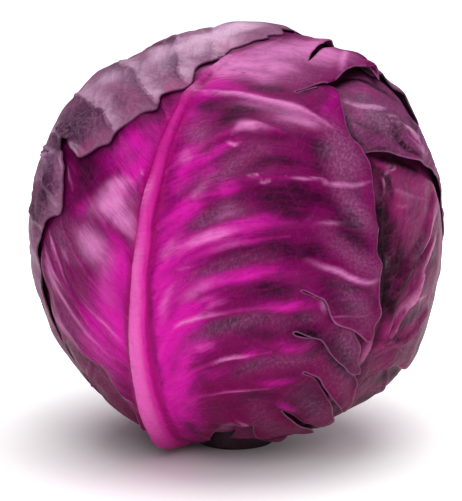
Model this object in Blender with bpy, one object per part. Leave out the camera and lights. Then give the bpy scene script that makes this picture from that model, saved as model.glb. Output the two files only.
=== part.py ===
"""A red cabbage head as picked, resting on the flat cut face of its stem.

Lengths are in metres and angles in degrees. +Z is up, and the front of the head looks along -Y. The
origin is the middle of the stem's cut face.

The head is a stem, a heart of tightly packed inner leaves and seven wrapper leaves. Each wrapper leaf
is a blade of even thickness that lies on the heart and on the leaves below it, and rises where it
crosses their margins. A place on a leaf is given by two angles about the middle of the head: along is
0 at the stem, 90 at the widest girth and 180 at the crown, and across is to the right of the midrib
as seen from outside.
"""

import math

import bpy
import numpy as np
from mathutils import Vector, geometry

HEAD_CENTRE = np.array([0.0, 0.0, 0.082])
HEART_RADIUS = 0.0758
BLADE_THICKNESS = 0.0009
BLADE_GAP = 0.0007
BLADE_PITCH = BLADE_THICKNESS + BLADE_GAP

STEM_RADIUS = 0.0155
STEM_CORE_RADIUS = 0.009
STEM_STRAIGHT_HEIGHT = 0.012
STEM_HEIGHT = 0.058
STEM_EDGE = 0.001
STEM_SIDES = 32
SOCKET_CLEARANCE = 0.0005

RIB_HALF_WIDTH = 0.0036
RIB_FOOT = 0.0055
VEIN_HEIGHT = 0.0010
VEIN_HALF_WIDTH = 0.004
WAVE_REACH = 0.014
FRILL_LENGTH = 0.021
FRILL_DEPTH = 0.0032

# Corners of the facets: FACET is the longest edge wanted inside a blade. A blade starts to sink back
# beside a margin below it only where no facet can still cross that margin.
FACET = 0.0115
CORNER_SPACING = 0.7 * FACET
LINE_SPACING = 0.42 * FACET
MARGIN_CLEARANCE = 0.45 * FACET
MARGIN_STEP = 0.0055
VEIN_STEP = 0.010
SHORTEST_EDGE = 0.0026
LIFT_START = 1.6 * FACET
LIFT_END = 2.9 * FACET

HEART_SIDES = 44
HEART_RINGS = 21
HEART_GAP = 0.0009
HEART_FOLD_DEPTH = 0.0016

# Swellings of the head: azimuth from the front, angle up from the stem, rise and spread.
SWELLINGS = [
    (90, 132, 0.0030, 22),
    (95, 108, -0.0012, 14),
    (-85, 52, 0.0006, 20),
    (-62, 27, 0.0036, 17),
    (25, 38, 0.0016, 24),
    (82, 50, 0.0046, 19),
    (175, 95, 0.0012, 40),
    (-100, 128, 0.0014, 20),
    (-90, 165, -0.0010, 22),
]


def unit(along, across, azimuth):
    """The direction from the middle of the head to a place on the leaf at this azimuth."""
    a, c, z = np.radians(along), np.radians(across), math.radians(azimuth)
    out = np.array([math.sin(z), -math.cos(z), 0.0])
    side = np.array([math.cos(z), math.sin(z), 0.0])
    down = np.array([0.0, 0.0, -1.0])
    a, c = np.atleast_1d(a)[:, None], np.atleast_1d(c)[:, None]
    return np.cos(c) * (np.cos(a) * down + np.sin(a) * out) + np.sin(c) * side


def smooth_step(value, low, high):
    t = np.clip((value - low) / (high - low), 0.0, 1.0)
    return t * t * (3.0 - 2.0 * t)


def head_radius(directions):
    """The radius that the innermost wrapper leaf rests on."""
    radius = np.full(len(directions), HEART_RADIUS)
    for azimuth, up_from_stem, rise, spread in SWELLINGS:
        middle = unit(up_from_stem, 0.0, azimuth)[0]
        apart = np.degrees(np.arccos(np.clip(directions @ middle, -1.0, 1.0)))
        radius += rise * np.exp(-((apart / spread) ** 2))
    return radius


def curve_through(points, step, closed):
    """Points at most a step apart on a smooth curve through the given ones, with equal pulls."""
    points = np.asarray(points, float)
    count = len(points)
    result = []
    for i in range(count if closed else count - 1):
        if closed:
            before, start, end, after = (points[(i + k) % count] for k in (-1, 0, 1, 2))
        else:
            before, start, end, after = (points[min(max(i + k, 0), count - 1)] for k in (-1, 0, 1, 2))
        length = np.linalg.norm(end - start)
        pulls = []
        for back, here, ahead in ((before, start, end), (start, end, after)):
            reach_in = np.linalg.norm(here - back) + 1e-9
            reach_out = np.linalg.norm(ahead - here) + 1e-9
            pulls.append(((here - back) / reach_in + (ahead - here) / reach_out) * 0.5 * length)
        parts = max(1, math.ceil(length / step))
        for k in range(parts):
            t = k / parts
            h = (2 * t**3 - 3 * t**2 + 1, t**3 - 2 * t**2 + t, -2 * t**3 + 3 * t**2, t**3 - t**2)
            result.append(h[0] * start + h[1] * pulls[0] + h[2] * end + h[3] * pulls[1])
    if not closed:
        result.append(points[-1])
    return np.array(result)


def inside_polygon(points, polygon):
    x, y = points[:, 0][:, None], points[:, 1][:, None]
    x0, y0 = polygon[:, 0], polygon[:, 1]
    x1, y1 = np.roll(x0, -1), np.roll(y0, -1)
    crosses = (y0 > y) != (y1 > y)
    with np.errstate(divide="ignore", invalid="ignore"):
        cut = x0 + (y - y0) * (x1 - x0) / (y1 - y0)
    return (crosses & (x < cut)).sum(axis=1) % 2 == 1


def distance_to_line(points, line, closed):
    """The distance from each point to the nearest stretch of the line."""
    starts = line if closed else line[:-1]
    ends = np.roll(line, -1, axis=0) if closed else line[1:]
    spans = ends - starts
    lengths = np.maximum((spans**2).sum(axis=1), 1e-18)
    offsets = points[:, None, :] - starts[None]
    t = np.clip((offsets * spans[None]).sum(axis=2) / lengths, 0.0, 1.0)
    return np.linalg.norm(offsets - t[..., None] * spans[None], axis=2).min(axis=1)


class Leaf:
    """A wrapper leaf: its outline, midrib and veins in leaf angles, and its place on the head."""

    def __init__(self, name, azimuth, outline, rib, rib_height, veins, folds, waves, frilled, colour):
        self.name = name
        self.azimuth = azimuth
        self.rib_height = rib_height
        self.folds = folds
        self.waves = waves
        self.colour = colour
        z = math.radians(azimuth)
        self.out = np.array([math.sin(z), -math.cos(z), 0.0])
        self.side = np.array([math.cos(z), math.sin(z), 0.0])
        highest = max(along for along, across in outline)
        middle = math.radians(0.5 * highest)
        down = np.array([0.0, 0.0, -1.0])
        self.middle = math.cos(middle) * down + math.sin(middle) * self.out
        self.ahead = -math.sin(middle) * down + math.cos(middle) * self.out
        corners = self.flat(unit(*zip(*outline), azimuth))
        edge = [corners[0]]
        for point in curve_through(corners, MARGIN_STEP, True)[1:]:
            if np.linalg.norm(point - edge[-1]) > SHORTEST_EDGE:
                edge.append(point)
        if np.linalg.norm(edge[-1] - edge[0]) < SHORTEST_EDGE:
            edge.pop()
        self.edge_flat = self.frill(np.array(edge), frilled)
        self.edge = self.unflat(self.edge_flat)
        self.rib = self.vein_line(rib)
        self.veins = [self.vein_line(vein) for vein in veins]

    def frill(self, edge, sides):
        """Scallops along the margin on the named sides of the midrib, away from the leaf's foot."""
        heading = np.roll(edge, -1, axis=0) - np.roll(edge, 1, axis=0)
        heading /= np.linalg.norm(heading, axis=1)[:, None]
        steps = np.linalg.norm(edge - np.roll(edge, 1, axis=0), axis=1)
        run = np.cumsum(steps)
        scallop = np.abs(np.sin(math.pi * run / FRILL_LENGTH)) - 0.5
        amount = FRILL_DEPTH * smooth_step(edge[:, 1], edge[:, 1].min() + 0.03, edge[:, 1].min() + 0.06)
        amount = amount * np.where(edge[:, 0] > 0.0, "right" in sides, "left" in sides)
        outward = np.stack([heading[:, 1], -heading[:, 0]], axis=1)
        if np.cross(edge[0], edge[1]) < 0.0:
            outward = -outward
        return edge + outward * (amount * scallop)[:, None]

    def vein_line(self, places):
        flat = self.flat(unit(*zip(*places), self.azimuth))
        return self.unflat(curve_through(flat, VEIN_STEP, False))

    def flat(self, directions):
        """The blade laid out flat about its middle, with true lengths from there."""
        reach = np.arccos(np.clip(directions @ self.middle, -1.0, 1.0))
        x, y = directions @ self.side, directions @ self.ahead
        scale = HEART_RADIUS * reach / np.maximum(np.hypot(x, y), 1e-9)
        return np.stack([x * scale, y * scale], axis=1)

    def unflat(self, points):
        reach = np.hypot(points[:, 0], points[:, 1])
        angle = reach / HEART_RADIUS
        heading = points / np.maximum(reach, 1e-12)[:, None]
        across = heading[:, :1] * self.side + heading[:, 1:] * self.ahead
        return np.cos(angle)[:, None] * self.middle + np.sin(angle)[:, None] * across

    def outside(self, directions):
        """How far each direction is outside the outline, negative inside it."""
        away = HEART_RADIUS * distance_to_line(directions, self.edge, True)
        within = inside_polygon(self.flat(directions), self.edge_flat)
        return np.where(within, -away, away)

    def angles(self, directions):
        along = np.degrees(np.arctan2(directions @ self.out, -directions[:, 2]))
        across = np.degrees(np.arcsin(np.clip(directions @ self.side, -1.0, 1.0)))
        return np.where(along < -60.0, along + 360.0, along), across

    def relief(self, directions):
        """How far the midrib and veins stand out of the outer side."""
        along, across = self.angles(directions)
        taper = smooth_step(along, 11.0, 19.0) * (1.0 - 0.75 * smooth_step(along, 20.0, 165.0))
        away = HEART_RADIUS * distance_to_line(directions, self.rib, False)
        height = self.rib_height * taper * np.exp(-((away / RIB_HALF_WIDTH) ** 2))
        for vein in self.veins:
            away = HEART_RADIUS * distance_to_line(directions, vein, False)
            height = np.maximum(height, VEIN_HEIGHT * taper * np.exp(-((away / VEIN_HALF_WIDTH) ** 2)))
        return height

    def stand_off(self, directions):
        """How far the blade stands off what lies below it, by its folds and its waved margin."""
        amount, count = self.waves
        away = HEART_RADIUS * distance_to_line(directions, self.edge, True)
        flat = self.flat(directions)
        turn = np.arctan2(flat[:, 0], flat[:, 1])
        near = 1.0 - smooth_step(away, 0.0, WAVE_REACH)
        height = amount * near * (0.5 + 0.5 * np.sin(count * turn + self.azimuth))
        along, across = self.angles(directions)
        for fold_along, fold_across, rise, length, width in self.folds:
            apart = ((along - fold_along) / length) ** 2 + ((across - fold_across) / width) ** 2
            height += rise * np.exp(-apart)
        return height

    def inner_places(self):
        """Flat places inside the outline: on the midrib and veins first, then an even spread."""
        rib = self.flat(self.rib)
        heading = np.gradient(rib, axis=0)
        heading /= np.linalg.norm(heading, axis=1)[:, None]
        flank = RIB_FOOT * np.stack([-heading[:, 1], heading[:, 0]], axis=1)
        lines = [rib, rib + flank, rib - flank] + [self.flat(vein) for vein in self.veins]
        kept = np.empty((0, 2))
        for line in lines:
            line = line[self.outside(self.unflat(line)) < -LINE_SPACING]
            for point in line:
                if len(kept) == 0 or np.linalg.norm(kept - point, axis=1).min() > LINE_SPACING:
                    kept = np.vstack([kept, point])
        low, high = self.edge_flat.min(axis=0), self.edge_flat.max(axis=0)
        columns = np.arange(low[0], high[0], FACET / 4.0)
        rows = np.arange(low[1], high[1], FACET / 4.0)
        spread = np.stack(np.meshgrid(columns, rows), axis=2).reshape(-1, 2)
        spread = spread[self.outside(self.unflat(spread)) < -MARGIN_CLEARANCE]
        for point in spread:
            if np.linalg.norm(kept - point, axis=1).min() > CORNER_SPACING:
                kept = np.vstack([kept, point])
        return kept

    def triangles(self):
        """Directions and triangles of the blade, with no corner outside the outline."""
        flat = [Vector(p) for p in np.vstack([self.edge_flat, self.inner_places()])]
        border = list(range(len(self.edge_flat)))
        found = geometry.delaunay_2d_cdt(flat, [], [border], 1, 1e-7)
        points = np.array([(p.x, p.y) for p in found[0]])
        return self.unflat(points), [tuple(face) for face in found[2]]


def rule_veins(first, last, step, reach, sweep):
    """Side veins in pairs, from the midrib outwards and forwards, as a leaf's own rule sets them."""
    veins = []
    for i in range(int((last - first) / step) + 1):
        start = first + i * step
        for side in (-1.0, 1.0):
            begin = start + (0.4 * step if side > 0 else 0.0)
            veins.append([
                (begin, side * 2.0),
                (begin + 0.35 * sweep, side * 0.4 * reach),
                (begin + sweep, side * reach),
            ])
    return veins


STRAIGHT_RIB = [(13.5, 0), (50, -1), (90, 0), (135, 1)]

LOW_LEFT_LEAF = Leaf(
    "low_left_leaf", -80,
    [(13.5, -11), (13, 0), (13.5, 11), (24, 22), (38, 36), (55, 48), (75, 56), (95, 58), (115, 54),
     (132, 42), (142, 24), (145, 5), (142, -15), (134, -34), (118, -48), (98, -56), (76, -56),
     (56, -48), (38, -36), (24, -22)],
    STRAIGHT_RIB, rib_height=0.0022, veins=rule_veins(34, 110, 19, 44, 30), folds=[],
    waves=(0.0012, 11), frilled=("left",), colour=(0.34, 0.06, 0.16),
)

LOW_RIGHT_LEAF = Leaf(
    "low_right_leaf", 95,
    [(13.5, -11), (13, 0), (13.5, 11), (24, 22), (38, 36), (55, 47), (75, 54), (95, 56), (115, 52),
     (132, 40), (142, 22), (145, 0), (140, -22), (128, -42), (110, -54), (90, -60), (70, -58),
     (52, -52), (36, -42), (24, -26)],
    STRAIGHT_RIB, rib_height=0.0022, veins=rule_veins(34, 110, 19, 44, 30), folds=[],
    waves=(0.0012, 12), frilled=("left", "right"), colour=(0.22, 0.03, 0.11),
)

RIGHT_LEAF = Leaf(
    "right_leaf", 40,
    [(13.5, -12), (13, -4), (14, 4), (28, 6), (42, 3), (50, 3), (55, 6), (57, 11), (57, 15),
     (53, 22), (49, 29), (46, 38), (52, 50), (68, 59), (85, 61), (102, 57), (118, 46), (130, 30),
     (138, 10), (138, -10), (132, -30), (118, -44), (100, -50), (80, -50), (60, -44), (42, -32),
     (26, -20)],
    [(13.5, -3), (45, -5), (66, 0), (95, 2), (125, 3)], rib_height=0.0022,
    veins=[
        [(66, 4), (80, 9), (90, 14), (98, 23), (106, 33)],
        [(67, 6), (78, 16), (86, 20), (94, 32)],
        [(64, 6), (67, 24), (74, 36)],
        [(72, 2), (96, 10), (112, 16)],
        [(66, -4), (84, -20), (98, -34)],
        [(86, -3), (104, -16), (116, -28)],
    ],
    folds=[(96, 14, 0.0024, 12, 8), (84, 26, 0.0020, 9, 9), (66, 22, 0.0018, 8, 12)],
    waves=(0.0012, 9), frilled=("left",), colour=(0.33, 0.06, 0.19),
)

SHOULDER_LEAF = Leaf(
    "shoulder_leaf", 125,
    [(13.5, -9), (13, 0), (13.5, 9), (20, 15), (32, 27), (48, 38), (68, 48), (90, 55), (112, 56),
     (135, 50), (155, 38), (168, 20), (177, 0), (184, -20), (188, -40), (184, -55), (176, -61),
     (168, -59), (162, -58), (154, -57), (146, -56), (138, -55), (131, -51), (118, -46), (108, -39),
     (95, -32), (80, -29), (60, -25), (40, -20), (22, -13)],
    [(13.5, 0), (50, 0), (90, -2), (135, -6)], rib_height=0.0024,
    veins=rule_veins(40, 118, 18, 42, 30), folds=[(128, -46, 0.0022, 12, 8)],
    waves=(0.0014, 12), frilled=("right",), colour=(0.36, 0.12, 0.26),
)

BACK_LEAF = Leaf(
    "back_leaf", 175,
    [(13.5, -12), (13, 0), (13.5, 12), (24, 22), (40, 34), (60, 46), (80, 52), (100, 54), (120, 52),
     (140, 46), (156, 36), (167, 22), (174, 6), (180, -10), (184, -25), (184, -38), (178, -43),
     (171, -49), (168, -56), (152, -61), (132, -62), (112, -60), (92, -57), (75, -52), (58, -44),
     (40, -34), (24, -22)],
    STRAIGHT_RIB, rib_height=0.0026, veins=rule_veins(32, 122, 18, 44, 32), folds=[],
    waves=(0.0016, 12), frilled=("left", "right"), colour=(0.42, 0.16, 0.32),
)

# The margin that stands off the right leaf, the loose lobes below it and the lifted upper flap are
# the front leaf's folds.
FRONT_LEAF = Leaf(
    "front_leaf", -27,
    [(13.5, -13), (13, -6), (14, -1), (24, 4), (32, 10), (36.5, 15), (33, 18.5), (24, 17), (17, 20),
     (13, 25), (10, 28.5), (20, 30.5), (34, 30.5), (21, 33), (8, 32), (4, 34), (14, 38), (24, 41),
     (34, 43), (47, 42.5), (35, 45.5), (24, 45), (15, 43), (22, 48), (28, 51), (40, 50), (58, 47.5),
     (44, 53), (35, 54.5), (33, 57), (41, 60), (51, 61), (60, 65), (74, 66), (93, 68), (108, 66),
     (119, 66), (134, 61), (144, 58), (150, 52), (154, 47), (160, 42), (167.5, 38), (158, 33),
     (169, 35.5), (184, 35.5), (190, 38), (191, 41), (196, 36), (201, 28), (193, 25.5), (180, 26.5),
     (193, 22.5), (202, 20), (207, 12), (207, 2), (203, -8), (194, -18), (182, -28), (165, -38),
     (145, -45), (125, -48), (105, -46), (90, -40), (77, -37), (67, -33), (59, -27), (56, -17),
     (44, -12), (34, -13), (23, -14)],
    [(14, -7), (23, -8), (45, -5), (70, -1), (98, 2), (125, 3), (143, 4), (163, 8)],
    rib_height=0.0030,
    veins=[
        [(43, 4), (53, 15), (54, 20), (49, 28)],
        [(56, 3), (61, 11), (67, 27), (60, 46)],
        [(69, 5), (80, 20), (80, 39), (77, 48)],
        [(74, 6), (88, 23), (94, 49)],
        [(84, 6), (96, 20), (104, 43)],
        [(94, 7), (106, 26), (114, 59)],
        [(103, 7), (117, 24), (128, 49), (138, 60)],
        [(113, 6), (126, 19), (139, 33), (149, 44)],
        [(137, 5), (147, 23), (149, 44)],
        [(158, 12), (164, 21), (173, 27)],
        [(56, -6), (64, -8), (72, -20), (77, -25)],
        [(68, -8), (73, -12), (83, -25), (93, -29)],
        [(86, -3), (104, -20), (118, -36)],
    ],
    folds=[(84, 67, 0.0030, 22, 10), (46, 58, 0.0024, 12, 9), (20, 40, 0.0020, 12, 9),
           (180, 36, 0.0022, 10, 8)],
    waves=(0.0010, 13), frilled=(), colour=(0.56, 0.03, 0.30),
)

TOP_LEAF = Leaf(
    "top_leaf", -130,
    [(13.5, -11), (13, 0), (13.5, 11), (20, 20), (35, 38), (50, 50), (64, 59), (77, 63), (88, 63),
     (99, 65), (105, 64), (109, 67), (117, 67), (126, 69), (133, 69), (139, 61), (143, 52), (149, 54),
     (156, 59), (162, 59), (168, 57), (175, 56), (177, 51), (182, 48), (188, 43), (186, 40),
     (188, 36), (192, 32), (189, 28), (189, 23), (191, 19), (189, 12), (192, 6), (192, -1),
     (190, -8), (187, -16), (181, -30), (170, -42), (154, -50), (134, -55), (114, -58), (95, -58),
     (75, -54), (55, -46), (36, -34), (20, -18)],
    STRAIGHT_RIB, rib_height=0.0024, veins=rule_veins(34, 142, 17, 50, 32),
    folds=[(104, 62, 0.0014, 26, 8)],
    waves=(0.0012, 15), frilled=("left",), colour=(0.33, 0.17, 0.31),
)

# From the innermost leaf to the outermost.
LEAVES = [LOW_LEFT_LEAF, LOW_RIGHT_LEAF, RIGHT_LEAF, SHOULDER_LEAF, BACK_LEAF, FRONT_LEAF, TOP_LEAF]


def material(name, colour, roughness):
    made = bpy.data.materials.new(name)
    made.use_nodes = True
    shader = made.node_tree.nodes["Principled BSDF"]
    shader.inputs["Base Color"].default_value = (*colour, 1.0)
    shader.inputs["Roughness"].default_value = roughness
    shader.inputs["Metallic"].default_value = 0.0
    return made


def add_piece(name, points, faces, colour, roughness):
    mesh = bpy.data.meshes.new(name)
    mesh.from_pydata([tuple(p) for p in points], [], faces)
    mesh.validate()
    mesh.shade_smooth()
    mesh.materials.append(material(name, colour, roughness))
    piece = bpy.data.objects.new(name, mesh)
    bpy.context.scene.collection.objects.link(piece)
    return piece


def add_leaf(order):
    """The leaf of this place in the order, laid over those before it and under those after it."""
    leaf = LEAVES[order]
    directions, triangles = leaf.triangles()
    inner = head_radius(directions)
    for below in LEAVES[:order]:
        inner += BLADE_PITCH * (1.0 - smooth_step(below.outside(directions), LIFT_START, LIFT_END))
    shown = np.ones(len(directions))
    for above in LEAVES[order + 1:]:
        shown *= smooth_step(above.outside(directions), LIFT_START, LIFT_END)
    inner += shown * leaf.stand_off(directions)
    outer = inner + BLADE_THICKNESS + shown * leaf.relief(directions)
    points = np.vstack([
        HEAD_CENTRE + directions * outer[:, None],
        HEAD_CENTRE + directions * inner[:, None],
    ])
    count = len(directions)
    first = triangles[0]
    turn = np.cross(points[first[1]] - points[first[0]], points[first[2]] - points[first[0]])
    if turn @ directions[first[0]] < 0.0:
        triangles = [face[::-1] for face in triangles]
    faces = list(triangles)
    faces += [tuple(corner + count for corner in face[::-1]) for face in triangles]
    used = {(face[k], face[(k + 1) % 3]) for face in triangles for k in range(3)}
    for start, end in sorted(used):
        if (end, start) not in used:
            faces.append((end, start, start + count))
            faces.append((end, start + count, end + count))
    return add_piece(leaf.name, points, faces, leaf.colour, 0.5)


def closed_rings(rings, first_pole, last_pole):
    """Points and faces of a body made of rings of equal count, closed by a pole at each end."""
    sides = len(rings[0])
    points = [first_pole] + [point for ring in rings for point in ring] + [last_pole]
    last = len(points) - 1
    faces = []
    for k in range(sides):
        following = (k + 1) % sides
        faces.append((0, 1 + following, 1 + k))
        for row in range(len(rings) - 1):
            low, high = 1 + row * sides, 1 + (row + 1) * sides
            faces.append((low + k, low + following, high + following, high + k))
        low = 1 + (len(rings) - 1) * sides
        faces.append((low + k, low + following, last))
    return points, faces


def stem_profile(clearance):
    """The stem's radius by height, from its widest straight part to its tip, grown by a clearance."""
    profile = []
    for k in range(7):
        t = k / 6
        height = STEM_STRAIGHT_HEIGHT + t * (STEM_HEIGHT - STEM_STRAIGHT_HEIGHT)
        ease = t * t * (3.0 - 2.0 * t)
        radius = STEM_RADIUS + ease * (STEM_CORE_RADIUS - STEM_RADIUS)
        profile.append((radius + clearance, height))
    for k in range(1, 4):
        angle = math.radians(22.5 * k)
        profile.append((
            STEM_CORE_RADIUS * math.cos(angle) + clearance,
            STEM_HEIGHT + STEM_CORE_RADIUS * math.sin(angle) + clearance * k / 3,
        ))
    return profile


def ring(radius, height, sides):
    turns = [2.0 * math.pi * k / sides for k in range(sides)]
    return [(radius * math.cos(t), radius * math.sin(t), height) for t in turns]


def add_stem():
    rings = [ring(STEM_RADIUS - STEM_EDGE, 0.0, STEM_SIDES), ring(STEM_RADIUS, STEM_EDGE, STEM_SIDES)]
    rings += [ring(radius, height, STEM_SIDES) for radius, height in stem_profile(0.0)]
    tip = (0.0, 0.0, STEM_HEIGHT + STEM_CORE_RADIUS)
    points, faces = closed_rings(rings, (0.0, 0.0, 0.0), tip)
    return add_piece("stem", points, faces, (0.72, 0.62, 0.55), 0.6)


def heart_folds(directions):
    """How deep the heart's surface lies below the wrapper leaves: leaf margins wind up around it."""
    around = np.arctan2(directions[:, 0], -directions[:, 1])
    up = np.arccos(np.clip(-directions[:, 2], -1.0, 1.0))
    turn = (around / (2.0 * math.pi) * 3.0 + up / math.pi * 1.6) % 1.0
    fade = smooth_step(up, math.radians(30.0), math.radians(70.0))
    fade *= 1.0 - smooth_step(up, math.radians(150.0), math.radians(175.0))
    return HEART_FOLD_DEPTH * fade * turn


def add_heart():
    socket = stem_profile(SOCKET_CLEARANCE)
    rings = [ring(radius, height, HEART_SIDES) for radius, height in reversed(socket)]
    lowest = math.degrees(math.asin(socket[0][0] / HEART_RADIUS)) + 2.0
    around = np.arange(HEART_SIDES) * 360.0 / HEART_SIDES + 90.0
    for k in range(HEART_RINGS):
        up_from_stem = lowest + (178.0 - lowest) * k / (HEART_RINGS - 1) * 0.97
        directions = np.vstack([unit(up_from_stem, 0.0, azimuth) for azimuth in around])
        radius = head_radius(directions) - HEART_GAP - heart_folds(directions)
        rings.append([tuple(p) for p in HEAD_CENTRE + directions * radius[:, None]])
    ceiling = (0.0, 0.0, STEM_HEIGHT + STEM_CORE_RADIUS + SOCKET_CLEARANCE)
    crown = unit(180.0, 0.0, 0.0)
    top = HEAD_CENTRE + crown[0] * (head_radius(crown)[0] - HEART_GAP)
    points, faces = closed_rings(rings, ceiling, tuple(top))
    return add_piece("heart", points, faces, (0.50, 0.10, 0.30), 0.5)


def main():
    for old in list(bpy.data.objects):
        bpy.data.objects.remove(old)
    add_stem()
    add_heart()
    for order in range(len(LEAVES)):
        add_leaf(order)


main()
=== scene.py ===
"""A red cabbage head as picked, resting on the cut face of its stem in a plain pale studio.

Lengths are in metres unless a name says mm, and angles are in degrees. A place on a leaf is given by two
angles about the middle of the head: along is 0 at the stem, 90 at the widest girth and 180 at the crown,
and across is to the right of the midrib as seen from outside.
"""

import math
import random

import bpy
import numpy as np
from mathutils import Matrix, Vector, geometry, kdtree


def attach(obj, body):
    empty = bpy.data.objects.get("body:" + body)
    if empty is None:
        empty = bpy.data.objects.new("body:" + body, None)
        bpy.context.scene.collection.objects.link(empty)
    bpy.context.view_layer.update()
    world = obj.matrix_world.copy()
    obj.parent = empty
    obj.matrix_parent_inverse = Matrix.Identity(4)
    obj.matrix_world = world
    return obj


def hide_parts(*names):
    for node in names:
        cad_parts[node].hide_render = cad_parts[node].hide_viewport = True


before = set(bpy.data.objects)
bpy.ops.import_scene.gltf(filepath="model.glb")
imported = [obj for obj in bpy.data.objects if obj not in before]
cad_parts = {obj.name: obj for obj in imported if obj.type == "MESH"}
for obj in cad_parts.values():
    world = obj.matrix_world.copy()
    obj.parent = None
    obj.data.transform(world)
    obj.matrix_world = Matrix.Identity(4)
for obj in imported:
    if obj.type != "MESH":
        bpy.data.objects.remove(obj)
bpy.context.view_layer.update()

MM = 0.001

# The head: its middle, the radius that the wrapper leaves rest on, the thickness of a blade, the step
# from one leaf to the next over it, and the gap between the heart and the innermost leaf.
HEAD_CENTRE = np.array([0.0, 0.0, 0.082])
HEART_RADIUS = 0.0758
BLADE_THICKNESS = 0.0009
BLADE_PITCH = 0.0016
HEART_GAP = 0.0009

# The stalk: wide and straight at its foot, then narrower, up to a round tip in the heart's socket.
STEM_RADIUS = 0.0155
STEM_CORE_RADIUS = 0.009
STEM_STRAIGHT_HEIGHT = 0.012
STEM_HEIGHT = 0.058
SOCKET_CLEARANCE = 0.0005

# How finely the blades are modelled, and how far under another leaf a blade is made coarser.
GRAIN = 0.00098
COARSE_STEP = 3
HIDDEN_DEPTH = 0.006
MARGIN_STEP = 0.0008
VEIN_STEP = 0.0009

# The steps along a line from which folds and panels, lips, and strokes of paint are measured.
FOLD_STEP = 0.003
LIP_STEP = 0.002
STROKE_STEP = 0.004

# A blade rises over the margin of a leaf below it between these distances outside that margin, and its
# own relief dies away between these distances outside the margin of a leaf above it.
RISE_START = 0.0004
RISE_END = 0.0085
COVER_START = -0.0010
COVER_END = 0.0045

# The chart of distances from a margin: its step and how far it goes beyond the leaf. Nearer to the
# margin than the last of these, a place's side of it is found with more care.
CHART_STEP = 0.0008
CHART_REACH = 0.012
CLOSE_TO_MARGIN = 0.0025

# The gap in mm where no vein is near, and how far from a vein it is measured, as an angle in radians.
NO_VEIN = 9.0
VEIN_ANGLE = 0.09

# The margin's own band, the reach of a lip, and how far painted shade reaches on a leaf next to the margin of
# one that lies over it.
MARGIN_BAND = 0.0042
LIP_REACH = 0.0065
COVER_SHADE_BAND = 0.0028

# Fine branches: the shortest side vein that has them, their spacing, and how far they reach.
SHORTEST_BRANCHED = 0.018
BRANCH_SPACING = 0.0135
BRANCH_REACH = (0.008, 0.021)

# A blade's greatest thickness in mm, and the height below which it is eased onto the floor.
THICKEST = 3.4
FLOOR_REST = 0.0014

# The height of a row of even triangles with sides of 1, and how many places are measured at a time.
ROW_PITCH = 0.866
BATCH = 4000

# Ripples are sums of this many waves, brought to about 1 by a divisor, for a head of this radius in mm.
WAVES = 14
WAVES_HEIGHT = 3.2
WAVES_RADIUS = 80.0

# Fine waves of a margin: how far they go out in mm, their length, how much they wander, and over what.
MARGIN_WAVES = [(0.22, 0.0029, 2.0, 0.013), (0.16, 0.0017, 1.7, 0.007)]

# How much wider and weaker than drawn the strokes of each kind of paint are laid.
# Dark strokes hold dark patches and also painted shade and shadow; bright and pale strokes hold bright skin
# and pale veins and also painted light and highlights.
PAINTS = {"bright": (1.3, 1.0), "dark": (1.3, 0.85), "pale": (1.1, 0.85), "bloom": (1.25, 0.75)}

# The view: degrees above the horizon, then the focal length and the photograph's height in its pixels,
# and how far the camera stands to the left and below the line to the middle of the head.
VIEW_LIFT = 12.0
FOCAL_PIXELS = 2587.0
PHOTO_HEIGHT = 501.0
VIEW_LEFT = 0.001546
VIEW_BELOW = 0.00599

DOWN = np.array([0.0, 0.0, -1.0])

# Swellings of the head: azimuth from the front, angle up from the stem, rise and spread.
SWELLINGS = [
    (90, 132, 0.0030, 22),
    (95, 108, -0.0012, 14),
    (-85, 52, 0.0006, 20),
    (-62, 27, 0.0036, 17),
    (25, 38, 0.0016, 24),
    (82, 50, 0.0046, 19),
    (175, 95, 0.0012, 40),
    (-100, 128, 0.0014, 20),
    (-90, 165, -0.0010, 22),
]


def out_and_side(azimuth):
    """The level directions away from the head at this azimuth, and to the right of that from outside."""
    z = math.radians(azimuth)
    return np.array([math.sin(z), -math.cos(z), 0.0]), np.array([math.cos(z), math.sin(z), 0.0])


def unit(along, across, azimuth):
    """The direction from the middle of the head to a place on the leaf at this azimuth."""
    out, side = out_and_side(azimuth)
    a, c = (np.atleast_1d(np.radians(angle))[:, None] for angle in (along, across))
    return np.cos(c) * (np.cos(a) * DOWN + np.sin(a) * out) + np.sin(c) * side


def smooth_step(value, low, high):
    """Eases from 0, where the value is at low, to 1, where it is at high."""
    t = np.clip((value - low) / (high - low), 0.0, 1.0)
    return t * t * (3.0 - 2.0 * t)


def head_radius(directions):
    """The radius that the innermost wrapper leaf rests on."""
    radius = np.full(len(directions), HEART_RADIUS)
    for azimuth, up_from_stem, rise, spread in SWELLINGS:
        middle = unit(up_from_stem, 0.0, azimuth)[0]
        apart = np.degrees(np.arccos(np.clip(directions @ middle, -1.0, 1.0)))
        radius += rise * np.exp(-((apart / spread) ** 2))
    return radius


def curve_through(points, step, closed):
    """Points at most a step apart on a smooth curve through the given ones, with equal pulls."""
    points = np.asarray(points, float)
    count = len(points)
    result = []
    for i in range(count if closed else count - 1):
        four = range(i - 1, i + 3)
        before, start, end, after = points[[k % count if closed else min(max(k, 0), count - 1) for k in four]]
        length = np.linalg.norm(end - start)
        pulls = []
        for back, here, ahead in ((before, start, end), (start, end, after)):
            reach_in = np.linalg.norm(here - back) + 1e-9
            reach_out = np.linalg.norm(ahead - here) + 1e-9
            pulls.append(((here - back) / reach_in + (ahead - here) / reach_out) * 0.5 * length)
        parts = max(1, math.ceil(length / step))
        for k in range(parts):
            t = k / parts
            h = (2 * t**3 - 3 * t**2 + 1, t**3 - 2 * t**2 + t, -2 * t**3 + 3 * t**2, t**3 - t**2)
            result.append(h[0] * start + h[1] * pulls[0] + h[2] * end + h[3] * pulls[1])
    if not closed:
        result.append(points[-1])
    return np.array(result)


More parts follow.
